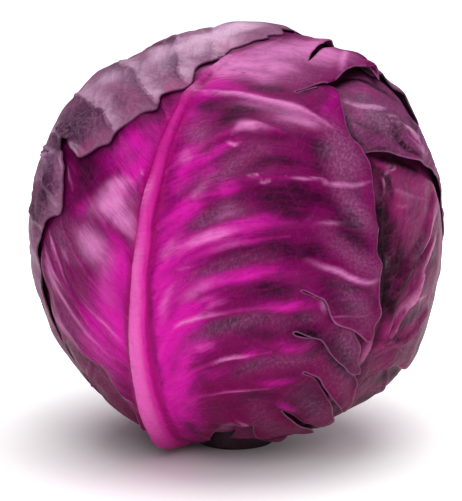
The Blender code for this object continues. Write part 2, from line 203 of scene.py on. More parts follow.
def inside_polygon(points, polygon):
    """Which points are inside the polygon: a ray from them crosses its sides an odd number of times."""
    x0, y0 = polygon[:, 0], polygon[:, 1]
    x1, y1 = np.roll(x0, -1), np.roll(y0, -1)
    rise = np.where(y1 == y0, 1e-12, y1 - y0)
    slope = (x1 - x0) / rise
    within = np.empty(len(points), bool)
    for first in range(0, len(points), BATCH):
        part = slice(first, first + BATCH)
        x, y = points[part, 0][:, None], points[part, 1][:, None]
        crosses = (y0 > y) != (y1 > y)
        within[part] = (crosses & (x < x0 + (y - y0) * slope)).sum(axis=1) % 2 == 1
    return within


def beside_line(directions, line):
    """How far each direction is from a line on the head, in metres, how far along the line that is, from 0
    to 1, and on which side of it: 1 to its left as seen from outside, -1 to its right."""
    starts, spans = line[:-1], np.diff(line, axis=0)
    lengths = np.maximum(np.linalg.norm(spans, axis=1), 1e-9)
    run = np.concatenate([[0.0], np.cumsum(lengths)])
    near, fraction, side = (np.empty(len(directions)) for _ in range(3))
    for first in range(0, len(directions), BATCH):
        batch = slice(first, first + BATCH)
        part = directions[batch]
        rows = np.arange(len(part))
        offsets = part[:, None, :] - starts[None]
        t = np.clip((offsets * spans[None]).sum(axis=2) / lengths**2, 0.0, 1.0)
        gaps = np.linalg.norm(offsets - t[..., None] * spans[None], axis=2)
        best = gaps.argmin(axis=1)
        near[batch] = gaps[rows, best] * HEART_RADIUS
        fraction[batch] = (run[best] + t[rows, best] * lengths[best]) / run[-1]
        turn = np.cross(spans[best], offsets[rows, best])
        side[batch] = np.sign((turn * part).sum(axis=1))
    return near, fraction, side


def ripple(directions, wavelength_mm, seed):
    """A smooth random field between about -1 and 1 over the head."""
    draw = random.Random(seed)
    total = np.zeros(len(directions))
    for _ in range(WAVES):
        z = draw.uniform(-1.0, 1.0)
        turn = draw.uniform(0.0, 2.0 * math.pi)
        flat = math.sqrt(1.0 - z * z)
        heading = np.array([flat * math.cos(turn), flat * math.sin(turn), z])
        pace = 2.0 * math.pi * WAVES_RADIUS / (wavelength_mm * draw.uniform(0.75, 1.35))
        total += np.sin(directions @ heading * pace + draw.uniform(0.0, 2.0 * math.pi))
    return total / WAVES_HEIGHT


def tree_of(points):
    """A tree that finds the nearest of these points."""
    tree = kdtree.KDTree(len(points))
    for i, point in enumerate(points):
        tree.insert(point, i)
    tree.balance()
    return tree


class Vein:
    """A midrib, vein or fine branch: its line on the head, its half widths in mm from foot to tip, and
    how far it stands out of the blade there, in mm."""

    def __init__(self, line, foot_width, tip_width, foot_height, tip_height):
        self.line = line
        self.foot_width, self.tip_width = foot_width, tip_width
        self.foot_height, self.tip_height = foot_height, tip_height


class Leaf:
    """A wrapper leaf. Its outline, midrib and other lines are places in leaf angles. With them come, in mm:
    rib_size, the midrib's width at its foot and tip and its rise; ridges, each a line, its rise and width;
    lips, each a line, the side that is raised, its rise, and how far the other side is tucked under;
    bulges, each a place, its rise, and its length and width in degrees; panels, each a line, with painted
    shade on one side and painted light on the other, and its reach; and for each kind of paint its strokes,
    each a line, its width, and its strength at the start and, if that differs, at the end. A scallop is the
    side of the margin that has it, its length and depth, in metres. The sweep says how far forwards the side
    veins run, on the left and on the right: their slope at the midrib, and how soon that dies away, in
    degrees."""

    def __init__(self, name, azimuth, outline, rib, rib_size, veins, **more):
        self.name, self.azimuth = name, azimuth
        self.scallop = more.get("scallop", ())
        self.ridges = more.get("ridges", [])
        self.lips = more.get("lips", [])
        self.bulges = more.get("bulges", [])
        self.paint = {kind: more.get(kind, []) for kind in PAINTS}
        self.lift = more.get("lift", (0.5, 0.6))
        self.puff = more.get("puff", 0.5)
        self.sweep = more.get("sweep", ((0.75, 120.0), (0.75, 120.0)))
        self.panels = more.get("panels", [])
        self.out, self.side = out_and_side(azimuth)
        middle = math.radians(0.5 * max(along for along, across in outline))
        self.middle = math.cos(middle) * DOWN + math.sin(middle) * self.out
        self.ahead = -math.sin(middle) * DOWN + math.cos(middle) * self.out
        corners = self.flat(unit(*zip(*outline), azimuth))
        edge = self.evenly(curve_through(corners, MARGIN_STEP, True))
        self.edge_flat = self.crinkled(edge)
        self.edge_out = self.outward(self.edge_flat)
        self.edge = self.unflat(self.edge_flat)
        self.finder = tree_of(self.edge)
        width_low, width_high, rib_rise = rib_size
        self.veins = [Vein(self.line_on_head(rib), width_low, width_high, rib_rise, 0.35 * rib_rise)]
        self.laterals = [self.line_on_head(vein) for vein in veins]
        vein_width, vein_rise = more.get("vein_size", (0.9, 0.55))
        for line in self.laterals:
            self.veins.append(Vein(line, vein_width, 0.35 * vein_width, vein_rise, 0.3 * vein_rise))
        if more.get("branches", True):
            self.veins += self.side_branches(vein_width)

    def evenly(self, edge):
        """The margin without points that are too close to the one before."""
        kept = [edge[0]]
        for point in edge[1:]:
            if np.linalg.norm(point - kept[-1]) > 0.55 * MARGIN_STEP:
                kept.append(point)
        if np.linalg.norm(kept[-1] - kept[0]) < 0.55 * MARGIN_STEP:
            kept.pop()
        return np.array(kept)

    def outward(self, edge):
        """The direction out of the blade at each point of its flat margin."""
        heading = np.roll(edge, -2, axis=0) - np.roll(edge, 2, axis=0)
        heading /= np.maximum(np.linalg.norm(heading, axis=1), 1e-9)[:, None]
        turning = edge[:, 0] * np.roll(edge[:, 1], -1) - edge[:, 1] * np.roll(edge[:, 0], -1)
        return np.stack([heading[:, 1], -heading[:, 0]], axis=1) * math.copysign(1.0, turning.sum())

    def crinkled(self, edge):
        """Scallops and small irregular waves along the margin, away from the leaf's foot."""
        run = np.cumsum(np.linalg.norm(edge - np.roll(edge, 1, axis=0), axis=1))
        far = smooth_step(edge[:, 1], edge[:, 1].min() + 0.03, edge[:, 1].min() + 0.06)
        wave = np.zeros(len(run))
        for size, length, drift, long in MARGIN_WAVES:
            wave += size * MM * np.sin(run / length + drift * np.sin(run / long))
        for side, length, depth in self.scallop:
            bow = np.abs(np.sin(math.pi * run / length + 0.8 * np.sin(run / 0.031))) - 0.5
            wave += depth * bow * np.where(edge[:, 0] * side > 0.0, 1.0, 0.0)
        return edge + self.outward(edge) * (wave * far)[:, None]

    def line_on_head(self, places, step=VEIN_STEP):
        """A smooth line through these leaf angles, as directions from the middle of the head."""
        flat = self.flat(unit(*zip(*places), self.azimuth))
        return self.unflat(curve_through(flat, step, False))

    def side_branches(self, width):
        """Branches that leave the veins forwards, alternately left and right."""
        draw = random.Random(self.name)
        made = []
        for line in self.laterals:
            flat = self.flat(line)
            length = np.linalg.norm(np.diff(flat, axis=0), axis=1).sum()
            if length < SHORTEST_BRANCHED:
                continue
            for k, place in enumerate(np.arange(0.2, 0.9, BRANCH_SPACING / length)):
                fraction = place + draw.uniform(-0.3, 0.3) * BRANCH_SPACING / length
                i = int(fraction * (len(flat) - 1))
                heading = flat[min(i + 3, len(flat) - 1)] - flat[max(i - 3, 0)]
                turn = math.atan2(heading[1], heading[0])
                side = 1 if k % 2 else -1
                turn += side * math.radians(draw.uniform(34, 62))
                reach = draw.uniform(*BRANCH_REACH) * (1.15 - 0.5 * fraction)
                bend = -side * draw.uniform(0.2, 0.9)
                path = [flat[i]]
                for _ in range(3):
                    path.append(path[-1] + reach / 3 * np.array([math.cos(turn), math.sin(turn)]))
                    turn += bend / 3
                branch = self.unflat(curve_through(path, VEIN_STEP, False))
                made.append(Vein(branch, 0.42 * width, 0.08, 0.2, 0.03))
        return made

    def flat(self, directions):
        """The blade laid out flat about its middle, with true lengths from there."""
        reach = np.arccos(np.clip(directions @ self.middle, -1.0, 1.0))
        x, y = directions @ self.side, directions @ self.ahead
        scale = HEART_RADIUS * reach / np.maximum(np.hypot(x, y), 1e-9)
        return np.stack([x * scale, y * scale], axis=1)

    def unflat(self, points):
        """The directions from the middle of the head to places of the flat blade."""
        points = np.asarray(points)
        reach = np.hypot(points[:, 0], points[:, 1])
        angle = reach / HEART_RADIUS
        heading = points / np.maximum(reach, 1e-12)[:, None]
        across = heading[:, :1] * self.side + heading[:, 1:] * self.ahead
        return np.cos(angle)[:, None] * self.middle + np.sin(angle)[:, None] * across

    def outside(self, directions):
        """How far each direction is outside the outline, negative inside it."""
        found = [self.finder.find(d) for d in directions]
        away = HEART_RADIUS * np.array([hit[2] for hit in found])
        nearest = np.array([hit[1] for hit in found])
        flat = self.flat(directions)
        within = ((flat - self.edge_flat[nearest]) * self.edge_out[nearest]).sum(axis=1) < 0.0
        close = away < CLOSE_TO_MARGIN
        within[close] = inside_polygon(flat[close], self.edge_flat)
        return np.where(within, -away, away)

    def chart(self):
        """The same distances on a flat grid, for the many questions that other leaves ask."""
        low = self.edge_flat.min(axis=0) - CHART_REACH
        count = np.ceil((self.edge_flat.max(axis=0) + CHART_REACH - low) / CHART_STEP).astype(int) + 1
        x, y = np.meshgrid(np.arange(count[0]), np.arange(count[1]))
        places = low + CHART_STEP * np.stack([x.ravel(), y.ravel()], axis=1)
        beyond = np.hypot(*places.T) > 0.98 * math.pi * HEART_RADIUS
        places[beyond] *= 0.97
        self.chart_low = low
        self.chart_grid = self.outside(self.unflat(places)).reshape(count[1], count[0])

    def roughly_outside(self, directions):
        """How far each direction is outside the outline, read off the chart."""
        spot = (self.flat(directions) - self.chart_low) / CHART_STEP
        rows, columns = self.chart_grid.shape
        away = (spot < 0).any(axis=1) | (spot[:, 0] >= columns - 1) | (spot[:, 1] >= rows - 1)
        x = np.clip(spot[:, 0], 0, columns - 1.001)
        y = np.clip(spot[:, 1], 0, rows - 1.001)
        i, j = y.astype(int), x.astype(int)
        u, v = x - j, y - i
        grid = self.chart_grid
        found = (1 - v) * ((1 - u) * grid[i, j] + u * grid[i, j + 1])
        found += v * ((1 - u) * grid[i + 1, j] + u * grid[i + 1, j + 1])
        return np.where(away, CHART_REACH, found)

    def flow(self, directions):
        """Places in mm along and across the run of the side veins, for streaks that follow them."""
        along, across = self.angles(directions)
        (left, left_reach), (right, right_reach) = self.sweep
        away = np.abs(across)
        rise = np.where(across < 0.0, left * left_reach * (1.0 - np.exp(-away / left_reach)),
                        right * right_reach * (1.0 - np.exp(-away / right_reach)))
        degree = math.radians(1.0) * HEART_RADIUS / MM
        return np.stack([across * degree, (along - rise) * degree, np.zeros(len(along))], axis=1)

    def angles(self, directions):
        """Along and across, in degrees."""
        along = np.degrees(np.arctan2(directions @ self.out, -directions[:, 2]))
        across = np.degrees(np.arcsin(np.clip(directions @ self.side, -1.0, 1.0)))
        return np.where(along < -60.0, along + 360.0, along), across

    def places(self, above):
        """Flat places of the blade's corners: its margin, then its veins, then an even spread that is
        coarser where leaves above hide it."""
        kept = [self.flat(vein.line) for vein in self.veins]
        kept += [self.flat(self.line_on_head(points)) for points, _, _ in self.ridges]
        kept = np.vstack(kept)
        clear = -self.outside(self.unflat(kept)) > 0.55 * GRAIN
        kept = kept[clear]
        thinned = []
        cells = set()
        for x, y in kept:
            cell = (round(x / (0.7 * GRAIN)), round(y / (0.7 * GRAIN)))
            if cell not in cells:
                cells.add(cell)
                thinned.append((x, y, 0.0))
        chosen = tree_of(thinned)
        low, high = self.edge_flat.min(axis=0), self.edge_flat.max(axis=0)
        rows = np.arange(math.ceil((high[1] - low[1]) / (GRAIN * ROW_PITCH)))
        columns = np.arange(math.ceil((high[0] - low[0]) / GRAIN))
        column, row = (grid.ravel() for grid in np.meshgrid(columns, rows))
        right, up = (column + 0.5 * (row % 2)) * GRAIN, row * ROW_PITCH * GRAIN
        spread = np.stack([low[0] + right, low[1] + up], axis=1)
        inside = self.outside(self.unflat(spread))
        keep = inside < -0.5 * GRAIN
        spread, column, row = spread[keep], column[keep], row[keep]
        cover = np.full(len(spread), 1.0)
        directions = self.unflat(spread)
        for leaf in above:
            cover = np.minimum(cover, leaf.roughly_outside(directions))
        coarse = (column % COARSE_STEP == 0) & (row % COARSE_STEP == 0)
        spread = spread[(cover > -HIDDEN_DEPTH) | coarse]
        free = [p for p in spread if chosen.find((*p, 0.0))[2] > 0.62 * GRAIN]
        return np.vstack([self.edge_flat, np.array(thinned)[:, :2], free])

    def triangles(self, above):
        """The blade's corners, as directions, and its faces, which look outwards."""
        corners = [Vector(p) for p in self.places(above)]
        border = list(range(len(self.edge_flat)))
        found = geometry.delaunay_2d_cdt(corners, [], [border], 1, 1e-8)
        points = np.array([(p.x, p.y) for p in found[0]])
        faces = [tuple(face) for face in found[2]]
        a, b, c = (points[faces[0][k]] for k in range(3))
        if (b[0] - a[0]) * (c[1] - a[1]) - (b[1] - a[1]) * (c[0] - a[0]) > 0.0:
            faces = [face[::-1] for face in faces]
        return self.unflat(points), faces


def rule_veins(first, last, step, reach, sweep, seed):
    """Side veins in pairs, from the midrib outwards and forwards, as a leaf's own rule sets them."""
    draw = random.Random(seed)
    veins = []
    for i in range(int((last - first) / step) + 1):
        start = first + i * step
        for side in (-1.0, 1.0):
            begin = start + (0.4 * step if side > 0 else 0.0) + draw.uniform(-1.5, 1.5)
            far = reach * draw.uniform(0.88, 1.12)
            veins.append([
                (begin, side * 1.0),
                (begin + 0.22 * sweep, side * 0.22 * far),
                (begin + 0.55 * sweep, side * 0.6 * far),
                (begin + sweep, side * far),
            ])
    return veins


STRAIGHT_RIB = [(12, 0), (50, -1), (90, 0), (135, 1)]

# The innermost wrappers, at the left and the right: little shows but their lower parts.
LOW_LEFT_LEAF = Leaf(
    "low_left_leaf", -80,
    [
        (12.5, -11), (12, 0), (12.5, 11), (24, 22), (38, 36), (55, 48), (75, 56), (95, 58), (115, 54),
        (132, 42), (142, 24), (145, 5), (142, -15), (134, -34), (118, -48), (98, -56), (76, -56), (56, -48),
        (38, -36), (24, -22),
    ],
    STRAIGHT_RIB, (3.6, 2, 2.2), rule_veins(34, 110, 17, 44, 30, 11),
    ridges=[([(52, 4), (41, 7), (29, 10)], 0.7, 1.3)], scallop=[(-1, 0.021, 0.0032)],
)

LOW_RIGHT_LEAF = Leaf(
    "low_right_leaf", 95,
    [
        (12.5, -11), (12, 0), (12.5, 11), (24, 22), (38, 36), (55, 47), (75, 54), (95, 56), (115, 52),
        (132, 40), (142, 22), (145, 0), (140, -22), (128, -42), (110, -54), (90, -60), (70, -58), (52, -52),
        (36, -42), (24, -26),
    ],
    STRAIGHT_RIB, (3.6, 2, 2.2), rule_veins(34, 110, 17, 44, 30, 12),
    scallop=[(-1, 0.021, 0.0032), (1, 0.021, 0.0032)],
    # Painted shade on its lower front part, where it shows through the notch at the front leaf's foot.
    dark=[
        ([(51.7, -15.9), (48.2, -24.6), (43.4, -33.4)], 3, 0.95, 0.8),
        ([(45.8, -16.5), (41.2, -16.7), (36.4, -26.1)], 3, 0.8),
    ],
)

# At the right: its foot is a narrow tongue, and above that its blade is folded and torn.
RIGHT_LEAF = Leaf(
    "right_leaf", 40,
    [
        (12.5, -12), (12, -4), (14, 4), (28, 6), (42, 3), (50, 3), (55, 6), (57, 11), (57, 15), (53, 22),
        (49, 29), (46, 38), (52, 50), (68, 59), (85, 61), (102, 57), (118, 46), (130, 30), (138, 10),
        (138, -10), (132, -30), (118, -44), (100, -50), (80, -50), (60, -44), (42, -32), (26, -20),
    ],
    [(12.5, -3), (45, -5), (66, 0), (95, 2), (125, 3)], (3.4, 1.6, 2),
    [
        [(66, 4), (80, 9), (90, 14), (98, 23), (106, 33)], [(67, 6), (78, 16), (86, 20), (94, 32)],
        [(64, 6), (67, 24), (74, 36)], [(72, 2), (96, 10), (112, 16)], [(66, -4), (84, -20), (98, -34)],
        [(86, -3), (104, -16), (116, -28)],
    ],
    ridges=[
        ([(68, 5), (80, 8), (89, 13), (95, 20), (99, 26), (104, 33), (109, 33), (112, 24),
         (115, 17)], 2.3, 2),
        ([(70, 9), (77, 14), (79, 17), (82, 19), (87, 19), (91, 24), (95, 33)], 2.2, 1.8),
        ([(66, 17), (67, 27), (74, 32)], 1.3, 2), ([(69, 5), (66, 12), (63, 22)], 1.1, 1.4),
        ([(114.5, 5), (111, 4.4), (107, 3.2)], 1.5, 1.1), ([(115.5, 6), (116.4, 9), (116.6, 13)], 1.2, 0.8),
        ([(113.5, 8), (110.5, 7.4), (106.5, 5.6)], -0.8, 0.8),
        ([(99, 2), (90, 3), (81, 3), (75, 3)], -1.6, 3),
    ],
    bulges=[(101, 15, 2.2, 11, 8), (84, 28, 1.2, 8, 7), (60, 16, 0.9, 8, 10), (91, 3.6, 1.5, 2.4, 2)],
    scallop=[(-1, 0.021, 0.0032)],
    # Dark strokes: dark patches, and painted shadow in the deep gap under the front leaf's margin and painted
    # shade on the shaded sides of its folds.
    dark=[
        ([(100.5, 2.7), (96.7, 3.3), (93.4, 4.2)], 2.6, 1.4, 1.3),
        ([(92.7, 5.7), (89.4, 6.5), (85.7, 5.6)], 2.6, 1.1, 0.9),
        ([(85.9, 1.4), (81.8, 3), (77.5, 5)], 2.8, 1.5, 1.3),
        ([(80.8, 5.5), (78.3, 6.4), (76.2, 5.7)], 1.8, 1.2),
        ([(70, 2.3), (68.4, 8.8), (63.9, 19.3)], 0.6, 0.9),
        ([(95, 8.3), (90.4, 9.9), (85.8, 8.4)], 2.6, 0.55),
        ([(95.3, 16.8), (91.1, 12.6), (87.7, 10)], 1.5, 0.5),
        ([(87.4, 24.9), (82.4, 23), (77.4, 23.3)], 1.2, 0.6),
        ([(73.3, 19.4), (70.9, 15.1), (68.8, 10.8)], 1.6, 0.55),
        ([(106.4, 1.3), (104.2, 2.3), (102.8, 5)], 1.5, 1.1),
        ([(114.7, 9.7), (111.1, 7.4), (108.4, 4.9)], 1, 0.9),
        ([(73.5, 25.1), (71.9, 20.6), (68.4, 15.7)], 1.4, 0.5),
        ([(121, 2), (119, 8), (118, 13), (116, 19), (113, 27)], 1.5, 1.2, 1.4),
        ([(117, 4), (115, 2), (112, 3)], 1.4, 0.9), ([(96, 22), (87, 14), (78, 7)], 2.6, 0.8, 0.9),
        ([(73, 27), (71, 14), (66, 10)], 2.6, 0.7), ([(90, 32), (82, 28), (76, 24)], 2, 0.6),
        ([(105, 41), (100, 35), (97, 30)], 1.8, 0.7), ([(112, 6), (109, 4), (105, 3)], 1.6, 0.7),
        ([(115, 14), (113, 20), (111, 26)], 1.6, 0.5),
        ([(106, 2), (98, 2.2), (91, 2.5), (86.6, 2.4), (80, 2.6), (72, 2.2)], 2.8, 1.3, 1.5),
        ([(88, 1.8), (84, 4), (78, 3)], 2.6, 1.4, 1.5), ([(105, 5), (97, 8), (88, 8), (80, 8)], 3.6, 0.8),
        ([(55, 10), (60, 20), (66, 30)], 4, 0.5), ([(88, 26), (96, 36)], 3, 0.6),
        ([(98, 20), (93, 17), (85, 12), (77, 9)], 2.2, 0.7), ([(84, 23), (80, 21), (74, 17)], 2.2, 0.6),
        ([(118, 3), (113, 8.5), (109, 8), (106, 6)], 1.2, 0.9), ([(117, 9), (118, 16)], 1, 0.9),
    ],
    bright=[
        ([(112, 11), (107, 14), (101, 13)], 4, 0.25), ([(98, 9), (91, 7), (84, 4)], 2.6, 0.5),
        ([(76, 4), (72, 7), (67, 7)], 2.4, 0.5), ([(110, 10), (100, 10), (92, 10)], 4, 0.4),
        ([(72, 16), (66, 24)], 3.5, 0.45), ([(112, 16), (106, 22), (100, 20)], 3, 0.4),
    ],
    # Pale strokes: pale veins, and painted highlights along the tops of its folds.
    pale=[
        ([(94.2, 30.9), (90.2, 23.3), (86.9, 19.7), (81, 19.6), (76.5, 13.9), (72.4, 11.1),
         (69.7, 8.7)], 0.8, 0.8), ([(104.2, 32), (97.1, 23.8), (92.1, 16.1), (88.7, 11.7)], 0.7, 0.6),
        ([(76.5, 25.8), (77.2, 19), (75.5, 14.3)], 0.6, 0.6),
        ([(116.9, 11.1), (113.2, 7.4), (110.1, 5.8), (108, 3.6), (105.3, 4)], 0.5, 0.9),
        ([(49.1, 28.4), (53.8, 19.9), (55, 14.9), (55.2, 10.3)], 0.5, 0.7),
        ([(93.4, 0.5), (92.7, 3.8), (90.7, 6.5)], 0.4, 0.7),
        ([(90.7, 6.5), (88.6, 4.6), (86.9, 1.7)], 0.4, 0.7),
        ([(109.7, 9.8), (108.6, 13.5), (106.8, 19), (105.6, 29.8)], 0.6, 0.4),
        ([(71, 6), (77, 12), (81, 18), (89, 21), (95, 32)], 0.9, 0.7, 0.5),
        ([(91, 14), (97, 24), (104, 32), (109, 33)], 1, 0.7, 0.5),
        ([(78, 15), (77, 21), (76, 28)], 0.7, 0.6), ([(106, 8), (105, 11), (105, 16)], 0.7, 0.4),
        ([(110, 9), (108, 13), (105, 18)], 2.4, 0.3),
        ([(112, 24), (109, 33), (104, 33), (99, 26), (95, 20), (89, 13)], 0.9, 0.7, 0.5),
        ([(95, 33), (91, 24), (87, 19), (82, 19), (77, 14)], 0.8, 0.7, 0.4),
        ([(116.2, 8), (116.8, 13.3), (115.9, 13.3), (114.5, 8.3), (112.7, 6.8), (110.3, 6.7),
         (106.3, 4.3)], 0.4, 0.9), ([(93.5, 1.6), (91.8, 6.1), (90, 6.1), (88, 3.5)], 0.4, 0.8),
    ],
    bloom=[
        ([(79.2, 12.7), (73.9, 18.6), (71.5, 14.3)], 2.4, 0.6),
        ([(84.6, 23.9), (80.4, 23.6), (76.9, 20.9)], 1.8, 0.5),
        ([(103, 12.7), (98.7, 16.2), (94.9, 12.3)], 4, 0.5),
        ([(92.7, 1.9), (90.9, 3.8), (89.5, 2.3)], 1.4, 0.7), ([(112, 10), (108, 18), (104, 26)], 5, 0.7),
        ([(90, 16), (84, 24)], 3.5, 0.4), ([(100, 18), (92, 14)], 2.4, 0.4),
    ],
)

# At the upper right: its lower margin hangs over the leaf at the right.
SHOULDER_LEAF = Leaf(
    "shoulder_leaf", 125,
    [
        (12.5, -9), (12, 0), (12.5, 9), (20, 15), (32, 27), (48, 38), (68, 48), (90, 55), (112, 56),
        (135, 50), (155, 38), (168, 20), (177, 0), (184, -20), (188, -40), (184, -55), (176, -61),
        (170, -58.5), (165, -58), (160, -57.5), (155, -57), (150, -56.5), (145, -55.5), (138, -54),
        (131, -51.5), (124, -48), (119, -45.5), (108, -39), (95, -32), (80, -29), (60, -25), (40, -20),
        (22, -13),
    ],
    [(12.5, 0), (50, 0), (90, -2), (135, -6)], (3.8, 2, 2.4), rule_veins(40, 118, 16, 42, 30, 13),
    ridges=[
        ([(171.4, -41.8), (164.7, -42.7), (160, -44.2), (150.8, -41.5)], 0.9, 1),
        ([(171.8, -47.8), (167.3, -49.6), (161.7, -51.7), (158.3, -51.7)], -0.9, 1.1),
        ([(146, -39), (144, -41), (148, -46)], 0.7, 1.1),
        ([(147, -46), (138, -45), (135, -47), (133, -49)], 0.9, 1),
        ([(129, -27), (130, -34), (134, -48)], 0.8, 1),
        ([(150, -45), (149, -50), (141, -52.5), (131, -50.5)], -1, 0.9),
        ([(146, -47), (142, -50), (134, -48.5), (126, -46)], 1.2, 1.2),
    ],
    bulges=[(142, -47, 1, 9, 5), (128, -46, 1.4, 9, 6), (160, -50, 1, 10, 6)],
    scallop=[(1, 0.021, 0.0032)], lift=(1.1, 0.7),
    # Dark strokes: dark patches, and painted shadow under the front leaf's margin and in its folds.
    dark=[
        ([(148.4, -47.4), (147.2, -50.4), (141.2, -51.8), (132.2, -51.1), (123.9, -48.4)], 0.9, 1),
        ([(173.1, -51.5), (171.8, -55), (168.3, -57.5)], 1.3, 0.8),
        ([(165.6, -51.6), (161.4, -52.3), (155.4, -51.7)], 1.4, 0.6),
        ([(166.2, -39.1), (162.3, -40.1), (157.2, -40.2)], 2, 0.6),
        ([(136.1, -34.9), (136, -39.5), (138, -45.2)], 1.6, 0.8),
        ([(138.7, -20.9), (135, -23.2), (131.5, -25.3)], 1.2, 0.7),
        ([(161.6, -56.5), (153.8, -56.6), (145.3, -56.5)], 1.3, 0.6),
        ([(125.2, -28.6), (121.3, -30.4), (119.2, -35.5)], 1.6, 0.6),
        ([(179, -40), (170, -37), (161, -32), (154, -32), (148, -33), (140, -32)], 1.5, 1.25, 1.4),
        ([(171, -45), (172, -51), (169, -55), (164, -57)], 1.2, 1, 1),
        ([(168, -46), (159, -43), (153, -45)], 2.2, 0.3), ([(136, -35), (134, -39), (132, -43)], 2, 0.6),
        ([(133, -24), (132, -30), (131, -35)], 1.4, 0.5),
        ([(147.3, -45.5), (148.8, -49.3), (146.7, -51.6), (142.6, -52.1), (133, -51)], 0.7, 1, 1),
        ([(171.8, -47.8), (167.3, -49.6), (161.7, -51.7), (158.3, -51.7)], 1, 0.7),
        ([(173, -52), (170, -56), (166, -58)], 1.6, 0.8), ([(168, -57), (150, -56), (131, -51)], 1.4, 0.4),
        ([(135, -38), (130, -42)], 3, 0.5),
    ],
    bloom=[
        ([(167, -39), (162, -40), (157, -41)], 2.6, 0.6), ([(162, -47), (158, -48), (154, -51)], 2.6, 0.6),
        ([(175, -54), (171, -56), (166, -57)], 1.6, 0.5), ([(168, -46), (158, -47), (148, -44)], 4.5, 0.7),
        ([(140, -42), (128, -44)], 4, 0.5),
    ],
    bright=[
        ([(166, -36), (163, -38), (159, -38)], 2, 0.5), ([(166, -43), (165, -47), (162, -48)], 2.4, 0.5),
        ([(143, -45), (138, -46), (133, -47)], 2.4, 0.6), ([(163, -54), (156, -54)], 2.5, 0.35),
        ([(126, -40), (122, -42)], 4, 0.35),
    ],
    # Pale strokes: pale veins, and painted highlights along the tops of its folds.
    pale=[
        ([(170.9, -42.4), (166.3, -44), (157.6, -44.3), (149.4, -40.4)], 0.8, 0.6),
        ([(152.6, -44.8), (146.7, -43.4), (145.3, -44.6)], 0.8, 0.6),
        ([(128.5, -27), (129.5, -34.2), (134.5, -44.5), (135.5, -49.2)], 0.7, 0.8),
        ([(145.3, -44.6), (140.6, -45.1), (136.2, -47.2)], 0.6, 0.8),
        ([(144.6, -46.5), (141.8, -48.8), (135.5, -49.2), (127.7, -47.1)], 0.7, 0.6),
        ([(171, -46.4), (168.8, -49.5), (168.5, -53.1)], 1.6, 0.4),
        ([(171, -42), (161, -44), (151, -42)], 0.8, 0.8), ([(147, -46), (138, -45), (133, -49)], 0.8, 0.9),
    ],
)

# Behind, where the photograph doesn't reach.
BACK_LEAF = Leaf(
    "back_leaf", 175,
    [
        (12.5, -12), (12, 0), (12.5, 12), (24, 22), (40, 34), (60, 46), (80, 52), (100, 54), (120, 52),
        (140, 46), (156, 36), (167, 22), (174, 6), (180, -10), (184, -25), (184, -38), (178, -43),
        (173, -46), (170, -50), (168, -56), (152, -61), (132, -62), (112, -60), (92, -57), (75, -52),
        (58, -44), (40, -34), (24, -22),
    ],
    STRAIGHT_RIB, (4.2, 2.2, 2.6), rule_veins(32, 122, 16, 44, 32, 14),
    scallop=[(-1, 0.021, 0.0032), (1, 0.021, 0.0032)], lift=(0.9, 0.8),
)

